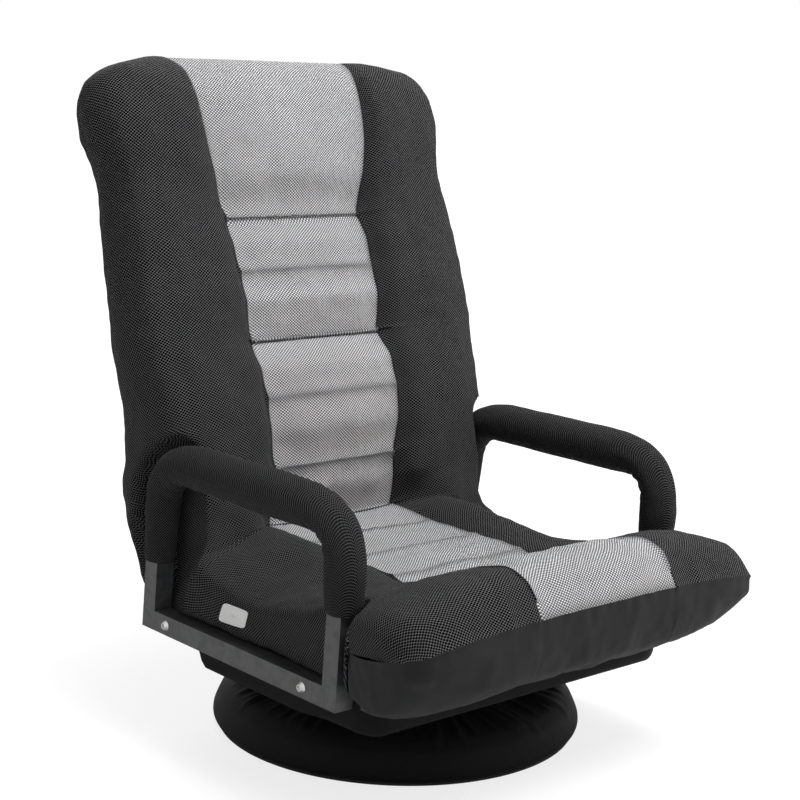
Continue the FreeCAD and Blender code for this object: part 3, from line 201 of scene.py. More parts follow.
def add_world():
    """White surroundings for the camera and for reflections, and softer light from them."""
    world = bpy.data.worlds.new("studio")
    world.use_nodes = True
    tree = world.node_tree
    background = tree.nodes["Background"]
    background.inputs["Color"].default_value = (1, 1, 1, 1)
    path = tree.nodes.new("ShaderNodeLightPath")
    seen = tree.nodes.new("ShaderNodeMath")
    seen.operation = "MAXIMUM"
    tree.links.new(path.outputs["Is Camera Ray"], seen.inputs[0])
    tree.links.new(path.outputs["Is Glossy Ray"], seen.inputs[1])
    strength = tree.nodes.new("ShaderNodeMapRange")
    strength.inputs["To Min"].default_value = SURROUND_LIGHT
    strength.inputs["To Max"].default_value = 1.0
    tree.links.new(seen.outputs[0], strength.inputs["Value"])
    tree.links.new(strength.outputs[0], background.inputs["Strength"])
    bpy.context.scene.world = world


def add_floor():
    """Pale floor that takes shadows near the chair and fades to white further out."""
    corners = [(x * FLOOR_HALF, y * FLOOR_HALF, 0) for x, y in ((-1, -1), (1, -1), (1, 1), (-1, 1))]
    mesh = bpy.data.meshes.new("floor")
    mesh.from_pydata(corners, [], [(0, 1, 2, 3)])
    floor = bpy.data.objects.new("floor", mesh)
    bpy.context.collection.objects.link(floor)
    g = Graph("pale_floor")
    g.set(Base_Color=(0.86, 0.86, 0.86, 1), Roughness=0.8, Specular_IOR_Level=0.1)
    glow = g.node("Emission")
    glow.inputs["Color"].default_value = (1, 1, 1, 1)
    glow.inputs["Strength"].default_value = FLOOR_GLOW
    fade = g.ramp(g.vector("LENGTH", g.place()), GLOW_FROM, GLOW_TO, LEAST_GLOW, 1.0)
    share = g.math("MULTIPLY", g.node("LightPath").outputs["Is Camera Ray"], fade)
    mixed = g.fill(g.node("MixShader"), (share, g.shader.outputs[0], glow.outputs[0]))
    g.link(mixed[0], g.tree.nodes["Material Output"].inputs["Surface"])
    mesh.materials.append(g.material)


bpy.context.scene.view_settings.view_transform = "Standard"
add_camera()
for lamp in LAMPS:
    add_lamp(*lamp)
add_world()
add_floor()

# Materials

# Of the mesh, as shares of its pitch: distance between rows, the holes' soft edge; and its waviness
ROW_PITCH = 0.82
HOLE_INNER, HOLE_OUTER = 0.24, 0.365
DRIFT = 0.006


def air_mesh(name, thread, hole, pitch, sheen):
    """Spacer mesh: knitted threads round staggered holes, on metric coordinates, with painted shade
    darkening the threads along the seams.
    """
    g = Graph(name)
    uv = g.uv()
    wander = g.noise(uv, 16, 1, 0.5, "Color")
    drift = g.vector("MULTIPLY", g.vector("SUBTRACT", wander, (0.5, 0.5, 0.5)), (DRIFT, DRIFT, 0))
    cells = g.vector("MULTIPLY", g.vector("ADD", uv, drift), (1 / pitch, 1 / (pitch * ROW_PITCH), 0))
    rows = []
    for shift in (100.0, 100.5):
        part = g.vector("FRACTION", g.vector("ADD", cells, (shift, shift, 0)))
        centred = g.vector("MULTIPLY", g.vector("SUBTRACT", part, (0.5, 0.5, 0)), (1.0, 0.86, 0))
        rows.append(g.vector("LENGTH", centred))
    opening = g.ramp(g.math("MINIMUM", *rows), HOLE_INNER, HOLE_OUTER, 1.0, 0.0)
    twist = g.noise(uv, 2200, 2)
    blotch = g.noise(uv, 9, 3)
    # Random tone of the threads, darkened to half along the seams and stitched channels as painted shade
    seam_shade = g.node("Attribute", attribute_name="seam_shade").outputs["Fac"]
    tone_and_seam_shade = g.math("MULTIPLY", g.ramp(blotch, 0.3, 0.7, 0.94, 1.05), g.ramp(twist, 0.2, 0.8, 0.9, 1.09))
    tone_and_seam_shade = g.math("MULTIPLY", tone_and_seam_shade, g.ramp(seam_shade, 0.0, 1.0, 1.0, 0.5))
    bright = g.node("Mix", data_type="RGBA", blend_type="MULTIPLY")
    bright.inputs["Factor"].default_value = 1
    bright.inputs[6].default_value = (*thread, 1)
    g.link(tone_and_seam_shade, bright.inputs[7])
    colour = g.mix(opening, bright.outputs[2], hole)
    height = g.math("ADD", g.math("MULTIPLY", opening, -1.0), g.math("MULTIPLY", twist, 0.3))
    g.link(g.ramp(opening, 0, 1, 0.22, 0.01), g.shader.inputs["Specular IOR Level"])
    g.link(g.ramp(opening, 0, 1, sheen, 0.0), g.shader.inputs["Sheen Weight"])
    g.set(Sheen_Roughness=0.6)
    return g.finish(colour, g.ramp(twist, 0, 1, 0.7, 0.9), height, 0.0006, 0.6)


def plain_cloth(name, dark, light, thread, sheen, specular=0.3):
    """Close woven cloth: crossing threads, slubs and a little rubbed colour."""
    g = Graph(name)
    uv = g.uv()
    waves = []
    for direction in ((1 / thread, 0, 0), (0, 1 / thread, 0)):
        along = g.vector("DOT_PRODUCT", uv, direction)
        waves.append(g.math("ABSOLUTE", g.math("SINE", g.math("MULTIPLY", along, math.pi))))
    weave = g.math("MAXIMUM", *waves)
    slub = g.noise(g.vector("MULTIPLY", uv, (220, 1400, 1)), 1.0, 2)
    blotch = g.noise(uv, 14, 5)
    share = g.math("MULTIPLY", g.ramp(blotch, 0.3, 0.75), 0.5)
    share = g.math("ADD", share, g.math("MULTIPLY", g.ramp(slub, 0.3, 0.8), 0.35), clamp=True)
    share = g.math("MULTIPLY", share, g.ramp(weave, 0.3, 1.0, 0.55, 1.0))
    g.set(Sheen_Weight=sheen, Sheen_Roughness=0.45, Specular_IOR_Level=specular)
    return g.finish(g.mix(share, dark, light), g.ramp(slub, 0, 1, 0.62, 0.86), weave, 0.00025, 0.6)


def coated_metal(name, base, edge, roughness, metallic=0.0, brushed=0.0, coat=0.0):
    """Powder coat or plating: fine skin, a few handling marks, worn edges."""
    g = Graph(name)
    place = g.place()
    skin = g.noise(place, 1500, 2)
    marks = g.noise(place, 90, 4)
    pointed = g.node("NewGeometry").outputs["Pointiness"]
    worn = g.math("MULTIPLY", g.ramp(pointed, 0.52, 0.62), g.ramp(marks, 0.35, 0.6))
    stain = g.noise(place, 22, 4)
    share = g.math("ADD", worn, g.math("MULTIPLY", g.ramp(stain, 0.4, 0.8), 0.12), clamp=True)
    fine = g.noise(g.vector("MULTIPLY", place, (60, 60, 1800)), 1.0, 2) if brushed else skin
    rough = g.math("ADD", g.math("MULTIPLY", fine, 0.16 + brushed), roughness - 0.08)
    g.set(Metallic=metallic, Coat_Weight=coat, Coat_Roughness=0.25)
    return g.finish(g.mix(share, base, edge), rough, fine, 0.00006, 0.5)


def moulded(name, base, light, roughness, grain, depth):
    """Rubber or moulded nylon: fine grain and slow colour change."""
    g = Graph(name)
    place = g.place()
    cells = g.noise(place, grain, 3, 0.7)
    slow = g.noise(place, 18, 4)
    share = g.math("ADD", g.math("MULTIPLY", cells, 0.5), g.math("MULTIPLY", slow, 0.5))
    rough = g.ramp(cells, 0, 1, roughness - 0.1, roughness + 0.1)
    return g.finish(g.mix(share, base, light), rough, cells, depth)


GREY_MESH = air_mesh("grey_mesh", (0.87, 0.87, 0.885), (0.085, 0.085, 0.087), 0.0041, 0.06)
BLACK_MESH = air_mesh("black_mesh", (0.108, 0.108, 0.111), (0.0015, 0.0015, 0.0015), 0.0041, 0.03)
SLEEVE_MESH = air_mesh("sleeve_mesh", (0.068, 0.068, 0.070), (0.0025, 0.0025, 0.0026), 0.0038, 0.03)
BORDER_CLOTH = plain_cloth(
    "border_cloth", (0.0085, 0.0085, 0.009), (0.0155, 0.0155, 0.0165), 0.0009, 0.03, 0.2)
BASE_CLOTH = plain_cloth("base_cloth", (0.002, 0.002, 0.0021), (0.0045, 0.0045, 0.0048), 0.0011, 0.03, 0.14)
TRAY_CLOTH = plain_cloth("tray_cloth", (0.003, 0.003, 0.0032), (0.0065, 0.0065, 0.007), 0.0012, 0.02, 0.12)
WHITE_CLOTH = plain_cloth("white_cloth", (0.86, 0.86, 0.85), (0.93, 0.93, 0.92), 0.0006, 0.05)
GREY_PAINT = coated_metal("grey_paint", (0.029, 0.030, 0.032), (0.052, 0.052, 0.055), 0.4, 0.15, 0.0, 0.1)
BLACK_PAINT = coated_metal("black_paint", (0.006, 0.006, 0.0066), (0.02, 0.02, 0.02), 0.45, 0.0, 0.0, 0.08)
ZINC = coated_metal("zinc_plate", (0.62, 0.62, 0.62), (0.46, 0.45, 0.42), 0.27, 1.0, 0.12)
STEEL = coated_metal("bare_steel", (0.5, 0.5, 0.51), (0.36, 0.35, 0.34), 0.3, 1.0, 0.15)
RUBBER = moulded("rubber", (0.008, 0.008, 0.008), (0.02, 0.02, 0.02), 0.75, 900, 0.0001)
NYLON = moulded("nylon", (0.6, 0.59, 0.55), (0.72, 0.71, 0.68), 0.5, 400, 0.00005)

# Curves and grids

COARSE_STEPS = (4, 3)
UNWRAP_PASSES = 16


def curve_values(keys, at):
    """Monotone cubic values through keys (t, value or values) at the places asked for."""
    t = np.array([k[0] for k in keys], float)
    v = np.array([k[1] for k in keys], float)
    flat = v.reshape(len(t), -1)
    h = np.diff(t)
    slope = np.diff(flat, axis=0) / h[:, None]
    m = np.zeros_like(flat)
    m[0], m[-1] = slope[0], slope[-1]
    for i in range(1, len(t) - 1):
        same = slope[i - 1] * slope[i] > 0
        w1, w2 = 2 * h[i] + h[i - 1], h[i] + 2 * h[i - 1]
        with np.errstate(divide="ignore", invalid="ignore"):
            mean = (w1 + w2) / (w1 / slope[i - 1] + w2 / slope[i])
        m[i] = np.where(same, mean, 0)
    at = np.clip(np.asarray(at, float), t[0], t[-1])
    i = np.clip(np.searchsorted(t, at, side="right") - 1, 0, len(t) - 2)
    s = ((at - t[i]) / h[i])[:, None]
    out = (
        flat[i] * (2 * s**3 - 3 * s**2 + 1) + m[i] * h[i][:, None] * (s**3 - 2 * s**2 + s)
        + flat[i + 1] * (3 * s**2 - 2 * s**3) + m[i + 1] * h[i][:, None] * (s**3 - s**2)
    )
    return out.reshape((len(at),) + v.shape[1:])


def between(start, end, low, high, t):
    """The value at t on the straight line from start at low to end at high."""
    return start * (high - t) / (high - low) + end * (t - low) / (high - low)


def smooth_line(points, counts):
    """A centripetal spline through points, with a number of steps for each span."""
    p = np.asarray(points, float)
    p = np.vstack([2 * p[0] - p[1], p, 2 * p[-1] - p[-2]])
    gaps = np.maximum(np.linalg.norm(np.diff(p, axis=0), axis=1), 1e-6) ** 0.5
    k = np.concatenate([[0], np.cumsum(gaps)])
    out = []
    for i in range(1, len(p) - 2):
        steps = counts[i - 1]
        for j in range(steps + (i == len(p) - 3)):
            t = k[i] + (k[i + 1] - k[i]) * j / steps
            a = [between(p[i - 1 + n], p[i + n], k[i - 1 + n], k[i + n], t) for n in range(3)]
            b = [between(a[n], a[n + 1], k[i - 1 + n], k[i + 1 + n], t) for n in range(2)]
            out.append(between(b[0], b[1], k[i], k[i + 1], t))
    return np.array(out)


def fractal(points, scale, seed, octaves=3):
    """Smooth noise from -1 to 1 at each point, in millimetres."""
    out = np.zeros(len(points))
    for i, p in enumerate(points):
        q = Vector((p[0] / scale + seed, p[1] / scale, p[2] / scale))
        out[i] = noise.fractal(q, 0.6, 2.0, octaves)
    return out


def add_grid(name, grid, material, uv=None, seam_shade=None, close_columns=False):
    """A quad mesh from rows of points in millimetres, with metric UVs and a point attribute that weights
    painted shade along the seams.
    """
    rows, columns = grid.shape[:2]
    wrap = columns if close_columns else columns - 1
    faces, loops = [], []
    for r in range(rows - 1):
        for c in range(wrap):
            d = (c + 1) % columns
            here, below = r * columns, (r + 1) * columns
            faces.append((here + c, here + d, below + d, below + c))
            loops += [(r, c), (r, c + 1), (r + 1, c + 1), (r + 1, c)]
    mesh = bpy.data.meshes.new(name)
    mesh.from_pydata((grid.reshape(-1, 3) * MM).tolist(), [], faces)
    layer = mesh.uv_layers.new(name="metric")
    if uv is None:
        uv = metric_uv(grid, close_columns)
    flat = np.array([uv[r, c] for r, c in loops]) * MM
    layer.data.foreach_set("uv", flat.astype(np.float32).ravel())
    # Weights of painted shade along the seams, zero where none are given
    if seam_shade is None:
        seam_shade = np.zeros((rows, columns))
    seam_shade_layer = mesh.attributes.new("seam_shade", "FLOAT", "POINT")
    seam_shade_layer.data.foreach_set("value", seam_shade.ravel().astype(np.float32))
    mesh.polygons.foreach_set("use_smooth", [True] * len(faces))
    if material is not None:
        mesh.materials.append(material)
    item = bpy.data.objects.new(name, mesh)
    bpy.context.collection.objects.link(item)
    return item


def spread(values, keys, at):
    """Linear values between rows known at some places."""
    flat = values.reshape(len(keys), -1)
    out = np.stack([np.interp(at, keys, flat[:, k]) for k in range(flat.shape[1])], axis=1)
    return out.reshape((len(at),) + values.shape[1:])


def steps_of(grid, axis):
    """Lengths of a grid's steps along one axis."""
    return np.linalg.norm(np.diff(grid, axis=axis), axis=2)


def run_of(line):
    """Distance along a line of points from its start."""
    return np.concatenate([[0], np.cumsum(np.linalg.norm(np.diff(line, axis=0), axis=1))])


def laid_uv(grid):
    """UVs in millimetres with the least stretch, upright along the rows, from a coarse copy."""
    rows, columns = grid.shape[:2]
    picked = [sorted(set(range(0, n, step)) | {n - 1}) for n, step in zip((rows, columns), COARSE_STEPS)]
    runs = [np.concatenate([[0], np.cumsum(steps_of(grid, k).mean(axis=1 - k))]) for k in range(2)]
    coarse = grid[np.ix_(*picked)]
    item = add_grid("pattern", coarse, None, uv=np.zeros(coarse.shape[:2] + (2,)))
    for other in bpy.context.view_layer.objects:
        other.select_set(other is item)
    bpy.context.view_layer.objects.active = item
    bpy.ops.object.mode_set(mode="EDIT")
    bpy.ops.mesh.select_all(action="SELECT")
    bpy.ops.uv.unwrap(method="MINIMUM_STRETCH", iterations=UNWRAP_PASSES, margin=0)
    bpy.ops.object.mode_set(mode="OBJECT")
    mesh = item.data
    uv = np.zeros((coarse.shape[0] * coarse.shape[1], 2))
    for loop, at in zip(mesh.loops, mesh.uv_layers["metric"].data):
        uv[loop.vertex_index] = at.uv
    uv = uv.reshape(coarse.shape[:2] + (2,))
    bpy.data.objects.remove(item)
    bpy.data.meshes.remove(mesh)
    scale = sum(steps_of(coarse, k).sum() for k in range(2))
    scale /= sum(steps_of(uv, k).sum() for k in range(2))
    down = np.diff(uv, axis=0).sum(axis=(0, 1))
    turn = math.atan2(down[0], down[1])
    cos, sin = math.cos(turn), math.sin(turn)
    uv = uv @ np.array([[cos, sin], [-sin, cos]]) * scale
    uv = spread(uv, runs[0][picked[0]], runs[0])
    return spread(uv.transpose(1, 0, 2), runs[1][picked[1]], runs[1]).transpose(1, 0, 2)


def even_out(grid, passes):
    """A grid with its small waves smoothed away; its edges keep their places."""
    out = grid.copy()
    for _ in range(passes):
        out[1:-1] = 0.25 * out[:-2] + 0.5 * out[1:-1] + 0.25 * out[2:]
        out[:, 1:-1] = 0.25 * out[:, :-2] + 0.5 * out[:, 1:-1] + 0.25 * out[:, 2:]
    return out


def metric_uv(grid, closed=False):
    """Arc lengths along each row and down each column, in millimetres."""
    rows = len(grid)
    full = np.concatenate([grid, grid[:, :1]], axis=1) if closed else even_out(grid, 60)
    u = np.zeros((rows, full.shape[1]))
    u[:, 1:] = np.cumsum(steps_of(full, 1), axis=1)
    if closed:
        u *= u[:, -1].max() / np.maximum(u[:, -1:], 1e-6)
    else:
        u -= u[:, full.shape[1] // 2][:, None]
    v = np.zeros_like(u)
    v[1:] = np.cumsum(steps_of(full, 0), axis=0)
    uv = np.stack([u, v], axis=2)
    return uv if closed else even_out(uv, 30)


def grid_normals(grid):
    """Unit normals of a grid of points."""
    a = np.gradient(grid, axis=0)
    b = np.gradient(grid, axis=1)
    n = np.cross(b, a)
    return n / np.maximum(np.linalg.norm(n, axis=2, keepdims=True), 1e-9)


# The cushion

# Across the chair's side, points are (y, z) in millimetres.
HINGE = np.array((118.0, 140.0))
LEAN = math.radians(18)
UP = np.array((math.sin(LEAN), math.cos(LEAN)))
REAR = np.array((math.cos(LEAN), -math.sin(LEAN)))
# The hinge's place along the back, and the plane of the seams, behind the hinge if positive
HINGE_ALONG = 158.2
SEAM_PLANE = -33.8

# Back, by distance along it: half width of the panel, its edge before the seam plane, its crown,
# the bolster's crest and shoulder, half width, edge before the seam plane, depth behind that plane
BACK_TABLE = [
    (770, (128, -8, 6, 17, 16, 152, 15, 45)),
    (766, (128, 2, 7, 25, 24, 165, 22, 49)),
    (757, (126, 8, 8, 30, 29, 203, 27, 53)),
    (745, (123, 13, 9, 34, 32, 227, 30, 57)),
    (730, (121.5, 15, 10, 38, 36, 238, 33, 58)),
    (711, (120, 17, 11, 41, 38, 243, 36, 59)),
    (683, (118, 18, 12, 42, 39, 244.5, 37, 59)),
    (662, (116, 17, 12, 41, 38, 241, 36, 59)),
    (624, (109, 12, 11, 38, 36, 234, 34, 59)),
    (577, (100.5, -2, 5, 36, 37, 237, 36, 61)),
    (545, (99, 11, 9, 41, 41, 239, 39, 62)),
    (512, (98.5, 12, 7, 42, 41, 240, 38, 63)),
    (474, (97, 15, 10, 41, 41, 243, 37, 65)),
    (444, (96.2, 4, 7, 38, 39, 245, 35, 66)),
    (435, (96, 0, 4, 37, 38.5, 244, 35, 67)),
    (400, (96.5, 20, 9, 41, 41, 240, 37, 71)),
    (366, (96.5, 21, 7, 42, 41, 237, 37, 77)),
    (328, (94.5, 17, 9, 39, 39, 237, 36, 89)),
    (290, (92, 0, 4, 34, 36, 240, 34, 102)),
    (262, (92, -6, 6, 32, 33, 242, 31, 98)),
]
TOP_START, TOP_END = 705.0, 770.0
# How far the middle of a rounded corner stands in from both faces, as a share of its radius
CORNER = 0.29
CREST_X = 132.0


def back_row(s):
    """Control points of one section across the back."""
    width, ahead, crown, crest, shoulder, half, edge, rear = curve_values(
        [(-k, v) for k, v in BACK_TABLE], [-s])[0]
    fraction = max(0.0, (s - TOP_START) / (TOP_END - TOP_START))
    shrink = math.sqrt(max(0.0, 1 - fraction**2))
    middle = -20.0 * fraction
    ahead, crest, shoulder, edge = (
        middle + (o - middle) * shrink for o in (ahead, crest, shoulder, edge))
    rear = -middle + (rear + middle) * shrink
    crown *= shrink
    front_round, rear_round = 40 * shrink + 0.5, 37 * shrink + 0.5
    crest_x = min(153.0, half - 14)
    panel = min(width, half - 18)
    points = [
        (0, ahead + crown),
        (panel, ahead),
        (panel + (crest_x - panel) * 0.3, ahead + (crest - ahead) * 0.66 + 1.5 * shrink),
        (crest_x, crest),
        ((crest_x + half - front_round) / 2 + 2, shoulder),
        (half - front_round, edge),
        (half - CORNER * front_round, edge - CORNER * front_round),
        (half, edge - front_round),
        (half, -rear + rear_round),
        (half - CORNER * rear_round, -rear + CORNER * rear_round),
        (half - rear_round, -rear),
        (min(110, half * 0.6), -rear - 2 * shrink),
        (0, -rear - 2 * shrink),
    ]
    along = s - HINGE_ALONG
    out = []
    for x, before in points:
        yz = HINGE + UP * along + REAR * (SEAM_PLANE - before)
        out.append((x, yz[0], yz[1]))
    return out


# Seat, by y: height of the panel's edge, its crown, heights of the crest, the shoulder and the
# outer top edge, half width, rounding of the edge, height of the underside
SEAT_TABLE = [
    (75, (203.5, 3, 224, 209, 193, 224, 16, 133.6)),
    (57, (200, 2, 223, 207, 188, 224, 16, 133.6)),
    (20, (202, 3, 221, 202, 181, 224, 15, 133.6)),
    (-22, (200, 2, 216, 198, 178, 224, 15, 133.6)),
    (-60, (202, 3, 211, 198, 184, 224, 15, 133.6)),
    (-92, (199, 2, 209, 200, 190, 225, 15, 133.6)),
    (-124, (197, 3, 210, 205, 198, 227, 16, 133.6)),
    (-160, (210, 5, 218, 215, 208, 231, 17, 133.6)),
    (-197, (230, 7, 234, 229, 219, 238, 20, 133.6)),
]
SEAT_PANEL = 95.0


def seat_row(y):
    """Control points of one section across the seat."""
    edge_z, crown, crest, shoulder, outer, half, rounding, low = curve_values(
        [(-k, v) for k, v in SEAT_TABLE], [-y])[0]
    points = [
        (0, edge_z + crown),
        (SEAT_PANEL, edge_z),
        (SEAT_PANEL + 12, edge_z + (crest - edge_z) * 0.62),
        (CREST_X, crest),
        (175, shoulder),
        (half - rounding - 6, outer + 4),
        (half - CORNER * rounding, outer - CORNER * rounding),
        (half, outer - rounding),
        (half, low + 8),
        (half - 2.5, low + 2.3),
        (half - 9, low),
        (110, low),
        (0, low),
    ]
    return [(x, y, z) for x, z in points]


# Whole rows where the back meets the seat, and then round the front, by the distance t that
# runs down the back from its top and out along the seat
CREASE_ROWS = [
    (524, [(0, 125, 224), (92, 127, 226), (106, 111, 232), (142, 82, 246), (180, 83, 243),
           (201, 89, 233), (229, 102, 219), (238, 120, 206), (238, 150, 182), (232, 172, 168),
           (205, 190, 165), (120, 193, 166), (0, 193, 166)]),
    (536, [(0, 130, 208), (92, 131, 210), (108, 113, 220), (142, 79, 235), (179, 81, 227),
           (201, 86, 218), (227, 96, 206), (237, 112, 194), (235, 142, 164), (222, 166, 142),
           (200, 182, 138), (120, 186, 140), (0, 186, 140)]),
    (552, [(0, 128, 204), (93, 129, 206), (108, 110, 214), (142, 77, 226), (178, 79, 214),
           (201, 83, 205), (223, 90, 196), (230, 102, 182), (227, 134, 146), (213, 150, 130),
           (190, 160, 126), (120, 170, 106), (0, 170, 106)]),
    (568, [(0, 114, 208), (94, 114, 206), (108, 100, 213), (142, 76, 224), (177, 78, 210),
           (201, 81, 201), (220, 84, 193), (226, 92, 180), (226, 108, 138), (219, 110, 132),
           (172, 122, 128), (120, 124, 82), (0, 124, 82)]),
    (582, [(0, 96, 207), (95, 96, 205), (108, 88, 213), (138, 76, 224), (176, 76, 210),
           (202, 78, 199), (218, 79, 192), (224.5, 84, 179), (224.5, 92, 140), (220, 92, 133.5),
           (180, 99, 133), (120, 96, 96), (0, 96, 96)]),
]
# The line on the chair's side about which the rows fan out round the front, as y, z
PIVOT = (-196.0, 176.0)
FRONT_ROWS = [
    (877, [(0, -200, 237.5), (95, -200, 231.5), (107, -200, 234), (132, -200, 235),
           (175, -200, 230), (213, -200, 222), (232, -199, 213), (238, -198, 202)]),
    (932, [(0, -242, 254), (95.5, -240, 246), (108, -240, 249.5), (132, -240, 250),
           (175, -242, 245), (213, -243, 234), (233, -242, 225), (243, -240, 211)]),
    (956, [(0, -268, 257), (97, -265, 251), (108, -266, 253), (132, -266, 252), (175, -268, 246),
           (213, -268, 235), (233, -266, 227), (244, -260, 212)]),
    (980, [(0, -293, 249), (98, -289, 245), (108, -290, 246), (132, -290, 244), (175, -290, 238),
           (213, -289, 228), (233, -285, 219), (244, -273, 206)]),
    (998, [(0, -307, 231), (97, -303, 229), (108, -304, 229), (132, -304, 228), (175, -303, 223),
           (213, -301, 216), (233, -296, 209), (244, -281, 200)]),
    (1012, [(0, -313, 214), (97, -311, 212), (108, -311, 212), (132, -311, 211), (175, -310, 208),
            (213, -308, 204), (233, -302, 199), (245, -286, 193)]),
    (1036, [(0, -316, 188), (97, -315, 187), (108, -315, 187), (132, -315, 187), (175, -314, 187),
            (213, -311, 186), (233, -303, 184), (245, -288, 181)]),
    (1062, [(0, -310, 158), (97, -309, 158), (108, -309, 158.5), (132, -309, 160), (175, -307, 164),
            (213, -302, 169), (233, -294, 171), (244, -281, 172)]),
    (1084, [(0, -293, 143), (97, -293, 143), (108, -293, 143.5), (132, -293, 145), (175, -291, 149),
            (213, -287, 154), (233, -280, 157), (243, -268, 159)]),
    (1110, [(0, -258, 131), (97, -258, 131), (108, -258, 131), (132, -258, 132), (175, -257, 134),
            (213, -255, 137), (232, -250, 140), (241, -243, 144)]),
    (1150, [(0, -206, 122), (97, -206, 122), (108, -206, 122), (132, -206, 122), (175, -206, 123),
            (210, -205, 125), (228, -203, 128), (236, -200, 134)]),
]
SEAT_ZERO_T = 676.0
CREASE_START = 552
SEAM_END = 1000
BORDER_START = 1012.0
T_END = 1150
# Beyond this row the rear's columns run together in the pivot line
REAR_END = 873.5
# Steps in each span of a section, from the panel's middle round to the rear's
SPANS = (26, 5, 9, 7, 7, 6, 6, 24, 6, 6, 10, 12)
PANEL_STEPS = SPANS[0]
SIDE_END = sum(SPANS[:8])
# Columns where the channels and the border's seam end and where the calmer rear begins
CHANNEL_COLUMN, BORDER_COLUMN, REAR_COLUMN = PANEL_STEPS + 34, 78, 110
ROW_STEP = 3.6
BACK_ROWS = (770, 769, 767, 763, 757, 749, 740, 728, 711, 697, 683, 662, 640, 624, 600, 577, 560, 545,
             528, 512, 493, 474, 456, 444, 435, 418, 400, 383, 366, 347, 328, 309, 290, 275, 262)
SEAT_ROWS = (75, 57, 38, 20, 0, -22, -41, -60, -76, -92, -108, -124, -142, -160, -180, -197)


def back_t(s):
    """The distance t of a place along the back."""
    return TOP_END - s


def seat_t(y):
    """The distance t of a place along the seat."""
    return SEAT_ZERO_T - y


def fan_row(points):
    """Ends a front row at the pivot line on the chair's side."""
    return points + [(x, *PIVOT) for x in (237.5, 236, 230, 110, 0)]


def cushion_control(t):
    """Control points of the sections at each t."""
    keys = [(back_t(s), back_row(s)) for s in BACK_ROWS] + CREASE_ROWS
    keys += [(seat_t(y), seat_row(y)) for y in SEAT_ROWS]
    keys += [(at, fan_row(points)) for at, points in FRONT_ROWS]
    return curve_values(keys, t)


# Sewn channels across the cushion: t and depth
DEEP = [(back_t(577), 9.0), (back_t(435), 8.5), (back_t(290), 8.0), (541, 6.0), (BORDER_START, 2.5)]
SHALLOW = [(back_t(512), 3.4), (back_t(366), 3.4), (seat_t(57), 3.6), (seat_t(-22), 3.4),
           (seat_t(-92), 3.2), (seat_t(-124) + 4, 1.6)]
STITCHED = [(at, 1.0) for at, _ in DEEP + SHALLOW]


def channel(t, places, width):
    """Depth of the sewn channels at each row."""
    out = np.zeros(len(t))
    for at, depth in places:
        sharp = np.exp(-np.abs(t - at) / width)
        wide = np.exp(-((t - at) / (width * 3.2)) ** 2)
        out += depth * (0.55 * sharp + 0.45 * wide)
    return out


# An arm's middle line as y, z before it is bent, the bends' radii, and its distance from the middle
ARM_PATH = [(146, 121.1), (131, 303), (-179, 303), (-169, 121.1)]
ARM_BENDS = ((1, 50.0), (2, 42.0))
ARM_X = 226.6
BEND_STEPS = 12
# Heights at which the sleeve starts on each post, and the room kept round the sleeve and the tube
REAR_SLEEVE_FOOT, FRONT_SLEEVE_FOOT = 186, 206
SLEEVE_REACH, TUBE_REACH = 24.8, 12.6
FAR_AWAY = 400.0


def arm_line(step=3.0):
    """Middle line of an arm from the rear post's foot over the top to the front one's, as y, z."""
    corners = [np.array(p, float) for p in ARM_PATH]
    line = [corners[0]]
    for i, radius in ARM_BENDS:
        corner = corners[i]
        back = (corners[i - 1] - corner) / np.linalg.norm(corners[i - 1] - corner)
        ahead = (corners[i + 1] - corner) / np.linalg.norm(corners[i + 1] - corner)
        half = math.acos(np.clip(back @ ahead, -1, 1)) / 2
        centre = corner + (back + ahead) / np.linalg.norm(back + ahead) * (radius / math.sin(half))
        start = corner + back * (radius / math.tan(half))
        end = corner + ahead * (radius / math.tan(half))
        a0 = math.atan2(*(start - centre)[::-1])
        a1 = math.atan2(*(end - centre)[::-1])
        if a1 < a0:
            a1 += 2 * math.pi
        if a1 - a0 > math.pi:
            a1 -= 2 * math.pi
        for k in range(BEND_STEPS + 1):
            a = a0 + (a1 - a0) * k / BEND_STEPS
            line.append(centre + radius * np.array((math.cos(a), math.sin(a))))
    line.append(corners[3])
    line = np.array(line)
    run = run_of(line)
    at = np.arange(0, run[-1], step)
    return np.stack([np.interp(at, run, line[:, k]) for k in range(2)], axis=1)


def moving_average(values, side):
    """Values averaged with as many neighbours as asked for on each side."""
    width = 2 * side + 1
    return np.convolve(np.pad(values, side, mode="edge"), np.ones(width) / width, mode="valid")


